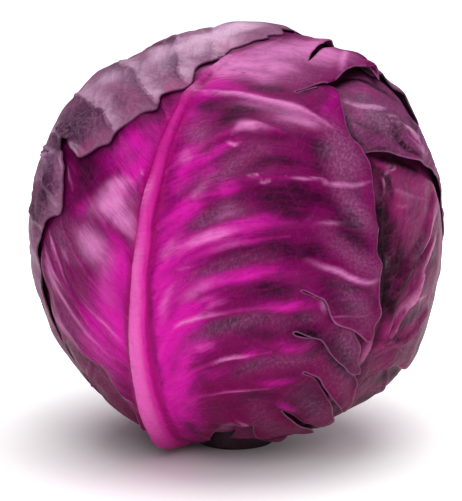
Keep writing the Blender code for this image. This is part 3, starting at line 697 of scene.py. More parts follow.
# The large leaf in front, with a thick midrib that leans to the right towards its tip.
FRONT_LEAF = Leaf(
    "front_leaf", -27,
    [
        (12.5, -13), (12, -6), (14, -1), (24, 4), (32, 10), (38, 15), (40, 18), (37, 20), (33, 20.5),
        (27, 18.5), (20, 19), (15, 24), (10, 28), (12, 30), (20, 31.5), (29, 31.4), (36, 30.8), (38.5, 31),
        (36, 31.7), (28, 32.4), (18, 32.9), (8, 32.2), (4, 33), (13, 37), (27, 41.2), (38, 42.3),
        (46, 42.2), (52, 40.5), (47, 43.1), (38, 43.6), (27, 43), (16, 41.5), (18, 44.5), (24, 48),
        (30, 51), (37, 50.2), (45, 49.2), (54, 48), (62, 46.4), (70, 41), (64, 47.2), (55, 49), (46, 50.3),
        (39, 51.4), (35, 53), (40, 54.5), (46, 55.6), (54, 56.2), (61, 55), (68, 51.5), (74, 50),
        (79, 48.5), (85, 44.5), (80, 49.7), (74, 51), (68, 52.6), (62, 56), (56, 57.8), (50, 59), (50, 61),
        (60, 65), (74, 66), (84, 67), (93, 68), (100, 66.5), (108, 66), (119, 66), (125, 64), (134, 61),
        (144, 58), (149, 53.5), (152, 48.5), (157, 44), (161, 41), (166, 38.2), (160, 34), (154, 30),
        (159, 33), (170, 36), (177, 35.6), (184, 35.8), (191, 37.5), (191, 41), (196, 36), (200, 30),
        (197, 25), (188, 25.2), (177, 26.2), (173, 26), (178, 24.8), (187, 23.4), (197, 21.8), (204, 20),
        (207, 12), (207, 2), (203, -8), (194, -18), (182, -28), (165, -38), (145, -45), (125, -48),
        (105, -46), (90, -39.5), (77, -37), (67, -33), (59, -27), (56, -17), (44, -12), (34, -13),
        (23, -14),
    ],
    [(13, -7), (23, -8), (45, -5), (70, -1), (98, 2), (125, 3), (143, 4), (156, 7), (166, 11)],
    (4.8, 0.6, 2.9),
    [
        [(43, 3), (51, 10), (54, 17), (54, 23), (51, 32)],
        [(56, 3), (62, 12), (66, 20), (66.5, 26), (65, 35)],
        [(66, 4), (75, 9), (79, 15), (80.5, 21), (81.5, 32), (80, 41)],
        [(74, 5), (84, 11), (89, 20), (92, 31), (93, 39)],
        [(84, 5), (94, 13), (100, 24), (103, 35), (104.6, 41)],
        [(90, 6), (98, 12), (104, 23), (107, 32), (110, 42)],
        [(103, 6), (112, 16), (119.6, 27), (123, 36), (125, 41), (127.5, 47)],
        [(118, 5), (128, 14), (134, 21), (137, 27), (138, 34)],
        [(139, 5), (143.4, 8), (144.5, 13), (146.4, 21), (147.5, 31), (148.4, 43)],
        [(152, 7), (156, 15), (157, 24)], [(158, 9), (163, 11), (170, 14), (181, 14)],
        [(62, -5), (70, -14), (81, -24), (90, -30), (99, -34)],
        [(78, -3), (89, -16), (98, -25), (108, -31)], [(92, -1), (104, -12), (116, -24), (124, -34)],
        [(112, 0), (124, -9), (136, -18), (146, -28)], [(132, 2), (144, -6), (158, -14)],
    ],
    vein_size=(0.55, 0.3), branches=False, sweep=((0.9, 200), (0.85, 30)),
    ridges=[
        ([(40, 4), (51, 10), (54, 17), (54, 23), (51, 32), (46, 38)], 1.2, 2.6),
        ([(52, 4), (62, 12), (66, 20), (66.5, 26), (65, 35), (61, 44)], 1.7, 3),
        ([(66, 5), (75, 9), (79, 15), (80.5, 21), (81.5, 32), (80, 41), (77, 48)], 1.9, 3),
        ([(76, 6), (84, 11), (89, 20), (92, 31), (93, 39), (91, 48)], 1.9, 3),
        ([(87, 6), (94, 13), (100, 24), (103, 35), (104.6, 41)], 1, 1.8),
        ([(90, 7), (98, 13), (104, 23), (107, 32), (110, 42), (110, 50)], 1.8, 3),
        ([(103, 7), (112, 16), (119.6, 27), (123, 36), (125, 41), (127.5, 47)], 2, 2.8),
        ([(124, 10), (132, 18), (136, 23), (137, 29), (139, 35), (141, 40)], 1.6, 2.4),
        ([(141, 6), (143.4, 8), (144.5, 13), (146.4, 21), (147.5, 31), (148.4, 43)], 1.8, 2.6),
        ([(126.8, 46.6), (130.9, 54.1), (139, 59.1)], 1, 1.5),
        ([(110.3, 45.7), (112.2, 51.6), (115.6, 58.4)], 1, 1.4),
        ([(97.2, 45.3), (94.5, 49.4), (91.8, 54.6), (86.2, 60), (83.5, 66.8)], 1.3, 1.8),
        ([(44.6, 31), (39, 32), (33, 34)], 0.8, 1.4), ([(76, 16), (70, 20), (66, 13)], -0.5, 2.4),
        ([(155, 11), (156, 15), (157, 19), (157, 25)], -0.7, 1.2),
        ([(158, 9), (163, 11), (170, 14), (181, 14)], 1, 2.4),
        ([(174, 35), (185, 31), (195, 27)], 0.9, 1.6), ([(172, 20), (176, 25)], 0.5, 1),
        ([(72, -17), (81, -24), (90, -30), (95, -32), (99, -34)], 0.9, 1.3),
        ([(83, -21), (89, -24), (94, -26), (98, -28)], 0.7, 1.1),
        ([(58, -19), (66, -25), (74, -31), (82, -37)], 0.7, 1.2),
        ([(127, -34), (117, -28), (110, -25)], 0.5, 0.9), ([(135, 45), (124, 54), (112, 60)], 1, 2.6),
        ([(20, -3), (45, -0.5), (70, 4), (98, 6), (120, 7)], -0.7, 1.6),
        ([(45, -10), (70, -6), (98, -3), (125, -1)], -0.5, 1.8),
    ],
    bulges=[
        (84, 67, 2.4, 20, 9), (46, 58, 1.6, 10, 8), (20, 40, 1.2, 10, 8), (180, 36, 1.6, 10, 7),
        (160, 37, 1.6, 5, 3.5), (105, -12, 0.8, 16, 9), (62, 25, 0.8, 10, 9),
    ],
    lips=[
        ([(154, 30), (160, 34), (171, 36), (184, 36), (191, 37)], 1, 1.9, 2.4),
        ([(173, 26), (178, 25.5), (188, 24), (199, 23)], 1, 1.6, 1.2),
        ([(70, 41), (62, 47), (54, 48.5), (45, 49.8), (37, 50.8)], 1, 2, 2.2),
        ([(52, 40.5), (46, 42.6), (38, 43), (27, 42.2)], 1, 1.6, 0.8),
        ([(85, 44.5), (79, 49.2), (74, 50.6), (66, 53), (58, 57.2), (50, 58)], 1, 1.8, 2.4),
        ([(38.5, 31), (29, 32), (18, 32.4), (8, 31.5)], -1, 1, 0),
    ],
    lift=(0.5, 0.8), puff=0.35,
    # Bright strokes: bright magenta skin, and painted light along the lit sides of the side-vein ridges.
    bright=[
        ([(120, -11), (124, -7), (128, -3)], 4.5, 0.8), ([(129, -16), (131, -12), (134, -9)], 3, 0.6),
        ([(113, -6), (118, -3), (124, 0)], 4, 0.8), ([(104, -21), (107, -18), (108, -16)], 3, 0.5),
        ([(125, 16), (129, 20), (131, 24)], 2.2, 0.5), ([(118, 14), (119, 16), (122, 19)], 2.4, 0.6),
        ([(123, 10), (123, 15), (125, 17), (128, 19)], 1.6, 0.8, 0.3),
        ([(114, 20), (115, 22), (117, 26), (117, 27)], 2, 1, 0.7),
        ([(98, 13), (101, 19), (104, 24), (106, 28), (107, 31), (109, 35), (110, 41),
         (110, 46)], 2.2, 1, 0.45),
        ([(93, 13), (97, 20), (100, 25), (102, 30), (103, 35), (105, 40)], 1.8, 0.8, 0.3),
        ([(83, 11), (87, 17), (90, 22), (91, 27), (92, 31), (93, 37), (92, 42)], 2.4, 1, 0.6),
        ([(76, 10), (81, 16), (84, 22), (85, 28)], 3, 1, 0.3),
        ([(82, 33), (81, 37), (80, 41), (78, 47)], 1.9, 0.6, 0.7),
        ([(69, 10), (74, 14), (78, 20)], 2.8, 0.9, 0.4), ([(69, 14), (70, 18), (71, 22)], 2.2, 0.7, 0.5),
        ([(67, 35), (64, 41), (60, 46)], 2, 0.5, 0.6), ([(66, 26), (67, 32)], 1.6, 0.5),
        ([(55, 28), (51, 37), (51, 40)], 1.6, 0.4, 0.5),
        ([(44.6, 31.2), (39.1, 32.2), (32.8, 33.8)], 1.3, 0.6),
        ([(74, 11), (67, 10), (58, 9), (50, 9)], 3.2, 0.8, 0.5),
        ([(60, 13), (62, 22), (64, 27)], 2, 0.5, 0.2),
        ([(164, 38), (158, 39), (151, 39), (147, 39)], 1.6, 0.45, 0.3),
        ([(107, 11), (109, 14), (112, 18)], 2.4, 0.9, 0.5),
        ([(116, 9), (120, 10), (124, 11)], 2.6, 0.8, 0.6), ([(79, 8), (76, 9), (70, 6)], 2.6, 1, 0.7),
        ([(80, -5), (74, -6), (64, -7)], 2.6, 0.8, 0.5), ([(82, -10), (74, -6), (68, -5)], 3, 0.6),
        ([(91, -8), (85, -7), (81, -5)], 4, 0.7), ([(97, -6), (91, -4), (86, -3)], 3, 0.8),
        ([(118, -22), (123, -22), (124, -21)], 2, 0.4), ([(22, -3), (60, 5), (98, 10), (124, 11)], 8, 0.9),
        ([(50, -10), (98, -8), (124, -5)], 7, 0.3), ([(130, 3), (146, 8), (158, 12)], 6, 0.7),
        ([(80, -10), (70, -16), (56, -12)], 8, 0.6), ([(148, 10), (147, 22), (149, 36)], 2.4, 0.5, 0.3),
        ([(161, 40), (153, 42), (147, 46)], 3.4, 0.3),
    ],
    # Pale strokes: pale veins and patches, painted highlights along the ridges and the midrib's tip, and a
    # painted sheen towards the crown.
    pale=[
        ([(98, -17), (96, -13), (93, -9)], 4.5, 0.5), ([(92, -12), (85, -9), (77, -8)], 5, 0.3),
        ([(106, 20), (108, 23), (110, 27)], 1.6, 0.5), ([(101, 17), (103, 21), (105, 26)], 1.4, 0.45),
        ([(96, -38), (85, -31), (79, -25)], 0.7, 0.6), ([(84, 25), (83, 21), (81, 18)], 1.2, 0.35),
        ([(100, -20), (97, -14), (94, -9)], 5, 0.55), ([(157, 10), (158, 18), (158, 27)], 6, 0.55),
        ([(94, 7), (97, 9), (101, 12)], 2.4, 0.5), ([(78, 7), (85, 9), (90, 13)], 1.8, 0.45),
        ([(88, -35), (78, -28), (69, -19), (63, -11)], 0.8, 0.7),
        ([(75, -34), (65, -27), (56, -17)], 1.2, 0.6),
        ([(152, 2), (156, 6), (162, 11), (166, 15)], 4.5, 0.75),
        ([(159, 1), (165, 4), (170, 10)], 3.5, 0.6), ([(141, 3), (144, 4), (147, 7)], 2.6, 0.6),
        ([(160, 18), (163, 23), (165, 28)], 3, 0.5), ([(136, 19), (136, 22), (136, 27)], 2.4, 0.5),
        ([(121, 8), (123, 10), (124, 12)], 2.6, 0.45), ([(111, 13), (114, 16), (117, 18)], 2, 0.5),
        ([(106, -5), (103, -2), (98, -1)], 3, 0.5),
        ([(143.7, 5.2), (143.4, 7.7), (144.2, 12), (145.5, 16), (146.4, 20.2), (146.9, 23.7), (147.1, 27.6),
         (147.5, 31.2), (147.9, 35.2), (148.3, 38.3), (148.2, 41.3), (148.6, 43.7)], 0.8, 0.9),
        ([(142, 14), (144, 20), (145, 25), (146, 30), (146, 34), (146, 38)], 2.3, 0.3, 0.75),
        ([(132.2, 19.5), (134.5, 21.1), (135.9, 23), (137.1, 25.6), (137.1, 29.2)], 0.9, 0.6),
        ([(141, 27), (144, 33), (145, 38), (147, 41)], 2.2, 0.4, 0.7),
        ([(129.6, 19.1), (128.7, 21.6), (130.1, 22.7)], 0.7, 0.8),
        ([(120.4, 26.5), (120.6, 28.1), (122, 30.7)], 0.5, 0.7),
        ([(119.6, 30.1), (120.4, 31.6), (121.5, 33.1)], 0.5, 0.8),
        ([(123.7, 36.4), (125, 40.9), (127.7, 45.6), (127.1, 47.2)], 0.5, 0.6, 1),
        ([(126.8, 46.6), (130.9, 54.1), (139, 59.1)], 0.7, 0.8),
        ([(110.3, 45.7), (112.2, 51.6), (115.6, 58.4)], 0.6, 0.4, 0.9),
        ([(97.2, 45.3), (94.5, 49.4), (91.8, 54.6), (86.2, 60), (83.5, 66.8)], 0.9, 0.6, 0.9),
        ([(72.2, 50.7), (63.1, 62.8)], 0.4, 0.5),
        ([(97, 12), (100, 16), (103, 24), (106, 28)], 1.7, 0.6, 0.4),
        ([(97.1, 19.1), (100.1, 25.3), (101.7, 29.7)], 1.2, 0.3, 0.5),
        ([(92.4, 11.7), (93.8, 16.9)], 0.6, 0.7, 0.2),
        ([(84, 13), (87, 17), (90, 22), (90, 24)], 1.9, 0.65, 0.4),
        ([(76.4, 10.1), (79.1, 15.7), (80.5, 19.7), (80.6, 25.3)], 0.7, 0.9, 0.6),
        ([(64.9, 18.4), (66.2, 21.5), (66.7, 24.5), (65.8, 30.1)], 0.6, 0.8, 0.6),
        ([(69, 14), (70, 18), (71, 22)], 2, 0.35, 0.25),
        ([(53.4, 15.4), (54.1, 19.5), (53.9, 23.1), (52.1, 28.9), (51.3, 32)], 0.5, 0.5),
        ([(83.6, 16.8), (85, 20.5), (86.2, 23.6)], 0.8, 0.4, 0.2),
        ([(41.6, 18.8), (38.6, 20.4), (33.4, 19.7)], 0.6, 0.6),
        ([(82.1, 47.1), (79.6, 48.4), (75.5, 48.9), (70.2, 51.1), (60.4, 56)], 0.9, 0.7, 0.3),
        ([(61.5, 46.8), (54.2, 47.7), (44.7, 49.4), (35.7, 51.1)], 0.9, 0.6, 0.4),
        ([(119.9, -30), (115, -26.9), (111, -24.3)], 0.5, 0.7),
        ([(111, -12), (113, -8), (114, -3)], 3, 0.7), ([(107, -14), (108, -9), (109, -3)], 4.2, 0.95),
        ([(105, -8), (103, -4), (100, -2)], 3.2, 0.8, 0.4),
        ([(98.8, -34.7), (95.5, -32.2), (89.7, -28.6), (84.6, -25.3), (81.1, -23.4)], 0.7, 0.9, 0.5),
        ([(94.4, -26.5), (90.6, -23.5), (88.3, -21.8)], 0.8, 0.7, 0.3),
        ([(88.7, -39.5), (82.3, -38.3), (74.2, -37.4), (69.4, -36.2), (59.6, -37.4),
         (55.3, -33.2)], 0.6, 0.8), ([(88, -35), (81, -32), (77, -30)], 2.4, 0.45),
        ([(118.1, -2.4), (116, -0.7)], 0.5, 0.7),
        ([(79.9, -20.1), (77.3, -16.2), (74.6, -11.4), (71.7, -8.2), (67.9, -5.2)], 0.9, 0.5),
        ([(70.6, -35.8), (67.3, -30.6), (62.5, -28.6), (58.5, -25.2)], 0.7, 0.7),
        ([(54, -34.2), (53.7, -27.3), (52.5, -20.5), (49.2, -14.2), (45.1, -11.2), (40, -10.9)], 0.6, 0.8),
        ([(99.3, 1.5), (91.5, 0.7), (83.4, -0.2)], 1.4, 0.55),
        ([(77.2, -1.1), (68.6, -2.6), (60, -3.6), (55.9, -3.6)], 1.5, 0.6),
        ([(115.7, 2.4), (110.9, 2), (106, 1.8)], 0.8, 0.7),
        ([(162, 14), (174, 20), (184, 26), (196, 18)], 10, 0.85),
        ([(174, 35), (185, 31), (195, 27)], 0.8, 0.7), ([(150, 8), (158, 12)], 4, 0.5),
    ],
    # Dark strokes: dark patches, and painted shade on the lower sides of ridges and painted shadow in the
    # slits and under the lobes.
    dark=[
        ([(159.2, 35.4), (156.3, 39.7), (153.1, 43.5)], 3, 0.4),
        ([(156.4, 10.6), (158.9, 17.8), (158.6, 24.4)], 0.9, 0.5),
        ([(163.9, 19.2), (169.1, 23.4), (175.6, 26.1)], 1, 0.45),
        ([(148.2, 18), (152.5, 22.9), (154.7, 27.5)], 1.8, 0.5),
        ([(153.2, 29.3), (156.7, 32.1), (162.7, 34)], 1, 0.5),
        ([(145.3, 23.6), (145.5, 29.2), (146.3, 35.9)], 1.4, 0.4),
        ([(117.6, 55), (113.5, 58.4), (109.6, 61.4)], 1.2, 0.7),
        ([(109.7, 56.3), (105.7, 59.1), (104.4, 62.5)], 2.2, 0.6),
        ([(83.7, 53.1), (78.4, 56.4), (72.3, 60.5)], 2.4, 0.4),
        ([(110, 18), (114, 24), (116, 30)], 3.4, 0.4), ([(95, 19), (99, 26), (99, 32)], 2.4, 0.35),
        ([(76, 17), (78, 25), (77, 33)], 2.2, 0.35), ([(105, 31), (104, 36), (102, 43)], 2.4, 0.3),
        ([(35, 9), (35, 12), (33, 16)], 1.6, 1, 1), ([(49, 28), (36, 33), (32, 38)], 6, 0.4),
        ([(60, 49), (43, 50), (29, 49)], 5, 0.4), ([(72, 39), (70, 43), (64, 47)], 3, 0.4),
        ([(84, 26), (85, 32), (83, 38)], 2, 0.35), ([(110, 31), (111, 40), (110, 48)], 4, 0.3),
        ([(153, 31), (159, 34), (167, 36)], 1.1, 1, 1), ([(152, 21), (152, 26), (152, 32)], 2.6, 0.45),
        ([(138, 9), (142, 14), (144, 19)], 3, 0.4), ([(102, 5), (110, 9), (117, 15), (125, 21)], 2, 0.5),
        ([(90, 7), (94, 14), (97, 21), (99, 25)], 1.9, 0.5),
        ([(75, 7), (83, 11), (87, 18), (90, 26)], 2, 0.5),
        ([(57, 5), (70, 11), (75, 17), (77, 25)], 2.2, 0.5), ([(49, 7), (59, 14), (63, 23)], 2, 0.5),
        ([(86, -2), (74, -4), (62, -5)], 1.6, 0.3), ([(114, -11), (110, -11), (107, -15)], 2, 0.3),
        ([(122, 63), (112, 65), (99, 65)], 1.6, 0.4), ([(135, 53), (131, 56), (125, 59)], 2.2, 0.5),
        ([(32, 43), (24, 43), (16, 41)], 1.6, 0.6), ([(27, 49), (32, 53), (38, 56)], 1.6, 0.6),
        ([(51, 37), (36, 38), (22, 38)], 5, 0.5, 0.7), ([(68, 47), (54, 52), (36, 52)], 4, 0.5, 0.7),
        ([(93, -7), (83, -6), (73, -6)], 5, 0.28), ([(42, 20), (33, 24), (23, 28)], 4, 0.4),
        ([(120, 55), (107, 60), (91, 62)], 3, 0.35), ([(81, 59), (68, 61), (56, 59)], 3, 0.4),
        ([(65, -31), (58, -27), (50, -22)], 3, 0.35), ([(138, 6), (140, 10), (140, 14)], 3, 0.6),
        ([(135, 16), (140, 18), (142, 22)], 2.2, 0.8), ([(123, -25), (118, -21), (114, -16)], 3.4, 0.6),
        ([(104, -27), (96, -25), (90, -23)], 2.6, 0.4), ([(56, 41), (59, 46), (59, 51)], 3.2, 0.6),
        ([(45, 36), (38, 39), (27, 39)], 3, 0.5), ([(75, 40), (75, 44), (72, 48)], 2.6, 0.7),
        ([(66, 39), (65, 42), (61, 45)], 2.4, 0.5), ([(58, 51), (52, 52), (45, 52)], 2.4, 0.7),
        ([(133, 42), (130, 45), (126, 48)], 2.6, 0.5), ([(116, 52), (109, 54), (101, 56)], 2.2, 0.5),
        ([(79, 54), (71, 57), (63, 58)], 2.2, 0.6), ([(138, 8), (139, 9), (141, 13)], 2, 0.6),
        ([(133, 15), (136, 17), (139, 20), (141, 22), (144, 26), (145, 28)], 1.9, 0.85, 0.5),
        ([(132, 24), (134, 29), (139, 36), (140, 39)], 2, 0.4, 0.6),
        ([(117.3, 11.4), (120.6, 15.1), (123.1, 17.9), (125, 20.3), (127.9, 22.4), (131.2, 23.8),
         (134, 25.3)], 1.2, 0.45), ([(137, 39), (139, 43), (133, 45)], 2.8, 1),
        ([(121, 24), (123, 27), (127, 31), (129, 35), (130, 39), (132, 43)], 2.4, 0.7, 0.9),
        ([(116, 27), (117, 33), (120, 38), (122, 44), (122, 49)], 2.8, 0.8, 1),
        ([(113, 31), (116, 39), (119, 46), (122, 52)], 2.4, 0.6, 1),
        ([(111, 36), (112, 40), (113, 44)], 2, 0.9),
        ([(94.9, 17.9), (97.8, 24.7), (99.7, 30.4), (101.1, 36.2), (100.7, 42),
         (99.6, 46.1)], 1.5, 0.3, 0.6), ([(99, 34), (100, 39), (99, 43)], 2.4, 0.8, 0.9),
        ([(102, 12), (105, 17), (108, 21), (110, 25)], 2.4, 0.6, 0.8),
        ([(87, 12), (90, 16), (92, 20), (94, 25), (96, 29), (97, 36)], 1.8, 0.35, 0.8),
        ([(84.7, 16.1), (87.9, 23.6), (89.6, 30.7)], 1.2, 0.3, 0.5),
        ([(88, 31), (87, 35), (86, 40), (87, 44)], 2.8, 0.8, 1),
        ([(69, 13), (72, 16), (76, 22), (77, 26), (78, 32), (77, 36), (74, 39)], 2.3, 0.3, 0.85),
        ([(74, 27), (72, 33), (71, 38)], 2.4, 0.7, 0.9),
        ([(70, 41), (68, 45.4), (62, 47.8)], 1.3, 1.3, 1.4),
        ([(60, 21), (61, 25), (62, 29), (61, 34)], 2.2, 0.5, 0.8),
        ([(48, 21), (50, 27), (47, 31)], 2.4, 0.8), ([(40, 4), (30, 3), (26, 6)], 2.6, 0.7),
        ([(38.5, 30.6), (26.6, 32.1), (12.5, 30.2)], 1.1, 1.2, 1.2),
        ([(59.5, 47.4), (50.3, 48.4), (39.7, 49.8), (32, 50.7)], 1.3, 1.3, 1.4),
        ([(30, 16), (15, 18), (7, 23)], 1.6, 0.5), ([(121.7, 54.7), (116.3, 58.9), (113, 61.6)], 0.7, 0.9),
        ([(117, 50), (116, 55), (111, 59)], 2.4, 0.8), ([(88, 51), (83, 58), (79, 62)], 1.6, 0.8),
        ([(91, 49), (80, 52), (69, 55)], 3, 0.6), ([(111, 55), (106, 60), (103, 62)], 1.8, 0.8),
        ([(98, 41), (100, 47), (98, 50)], 2.2, 0.7), ([(105, 44), (102, 48), (96, 53)], 2.6, 0.5),
        ([(45, 10), (47, 19), (42, 26)], 3.4, 0.45), ([(56, 37), (46, 40), (37, 41)], 3, 0.4),
        ([(79, 62.8), (71, 64.4), (55.7, 62.1)], 1.2, 0.5),
        ([(146.1, 50.5), (144.7, 53.7), (140.6, 57.3)], 1, 0.6), ([(142, 17), (141, 25)], 1.6, 0.3),
        ([(120, -27), (119, -21), (117, -14)], 3.4, 0.5), ([(115, -24), (114, -19), (114, -14)], 3.6, 0.6),
        ([(109, -24), (109, -21), (111, -17)], 2.6, 0.55), ([(124, -12), (121, -5), (117, -6)], 3, 0.4),
        ([(102, -15), (100, -11), (98, -7)], 2.4, 0.35),
        ([(99.7, -32.6), (95.9, -29.3), (92.2, -26.5)], 1, 0.6),
        ([(89, -20), (88, -13), (85, -9)], 3, 0.35), ([(50, -21), (50, -16), (47, -11)], 2.4, 0.6),
        ([(58, -13), (55, -10), (47, -10)], 2.4, 0.45),
        ([(114.2, 0.7), (108.6, -0.1), (101.7, -0.4), (96.2, -0.9)], 0.8, 0.45, 0.2),
        ([(114.2, 5.8), (109.1, 4.3), (102.1, 4.4)], 0.9, 0.45, 0.2),
        ([(96.1, 5.9), (88.7, 4.4), (83.8, 3.9), (79.1, 4.1), (71.2, 3.5), (64.2, 3), (56.2, 2.2),
         (49.3, 1.1)], 1.3, 0.5, 0.8), ([(49, -6), (37, -8), (24, -11)], 2.4, 0.2, 0.5),
        ([(107, -26), (104, -25)], 1.6, 0.7),
    ],
    bloom=[
        ([(160.5, 11), (167.5, 16.6), (174.2, 22.6)], 3, 0.35),
        ([(154.1, 20.2), (158.4, 26.6), (167.1, 30.9)], 3, 0.35),
        ([(150, 39.4), (147.3, 43.5), (143.8, 47.8)], 3, 0.5),
        ([(124.4, 52.4), (119.7, 56.9), (112.3, 62.5)], 3, 0.6),
        ([(141.9, 47.1), (137.9, 52), (134, 56.3)], 4.5, 0.5),
        ([(98.7, 58.3), (92.2, 61.7), (83.9, 65)], 3, 0.4),
        ([(77.6, 56.1), (66.7, 58.7), (54.6, 60.5)], 3, 0.35),
        ([(143, 44), (138, 48), (131, 52)], 3.4, 0.8), ([(158, 30), (163, 31), (168, 32)], 2.4, 0.5),
        ([(144, 17), (146, 23), (146, 31)], 3, 0.7), ([(142, 27), (143, 32), (144, 36)], 3, 0.8),
        ([(132, 9), (130, 12), (127, 14)], 3, 0.5), ([(141, 46), (135, 50), (128, 53)], 3, 0.6),
        ([(99, -19), (96, -14), (94, -11)], 4, 0.5), ([(134, 10), (129, 11), (126, 14)], 3, 0.7),
        ([(114, 11), (115, 13), (118, 17), (119, 20), (122, 22), (126, 25), (129, 26)], 2.6, 0.8),
        ([(149, 45), (144, 48), (141, 51), (135, 53)], 4.2, 1),
        ([(127, 52), (123, 57), (118, 61), (116, 65)], 2.4, 1),
        ([(108, 50), (103, 55), (96, 61), (90, 66)], 2.6, 0.7), ([(87, 55), (76, 59), (60, 62)], 2.2, 0.6),
        ([(102, 12), (105, 17), (108, 21), (110, 27), (108, 29)], 2.6, 0.8, 0.9),
        ([(111, 23), (111, 25)], 1.6, 1),
        ([(87, 12), (90, 16), (92, 20), (94, 25), (96, 29), (97, 36)], 2, 0.7, 0.5),
        ([(67, 11), (72, 15), (76, 22), (77, 26), (78, 32), (77, 36), (74, 39)], 2.4, 0.6, 0.8),
        ([(61, 25), (62, 29), (61, 34)], 2.2, 0.6), ([(63, 52), (55, 54), (44, 53)], 2.6, 0.8),
        ([(48, 47), (37, 48), (26, 46)], 3, 0.5), ([(43, 37), (29, 38), (15, 35)], 3.2, 0.5),
        ([(48, 25), (23, 25), (13, 26)], 3, 0.35), ([(61, 33), (58, 41), (54, 45)], 2.2, 0.5),
        ([(75, 43), (72, 48)], 2, 0.4), ([(128, 26), (132, 32)], 2.5, 0.3),
        ([(125, -13), (121, -5), (117, -7)], 3, 0.45), ([(106, -17), (105, -14)], 2, 0.8),
        ([(96, -20), (95, -16), (93, -10), (93, -8)], 2.8, 1),
        ([(102, -29), (98, -27), (92, -22), (91, -18)], 2.2, 0.8),
        ([(78, -29), (71, -26), (66, -18), (61, -12)], 4, 0.7),
        ([(59, -21), (56, -15), (53, -11)], 2.6, 0.5), ([(160, 16), (172, 22), (186, 28)], 11, 0.5),
    ],
)

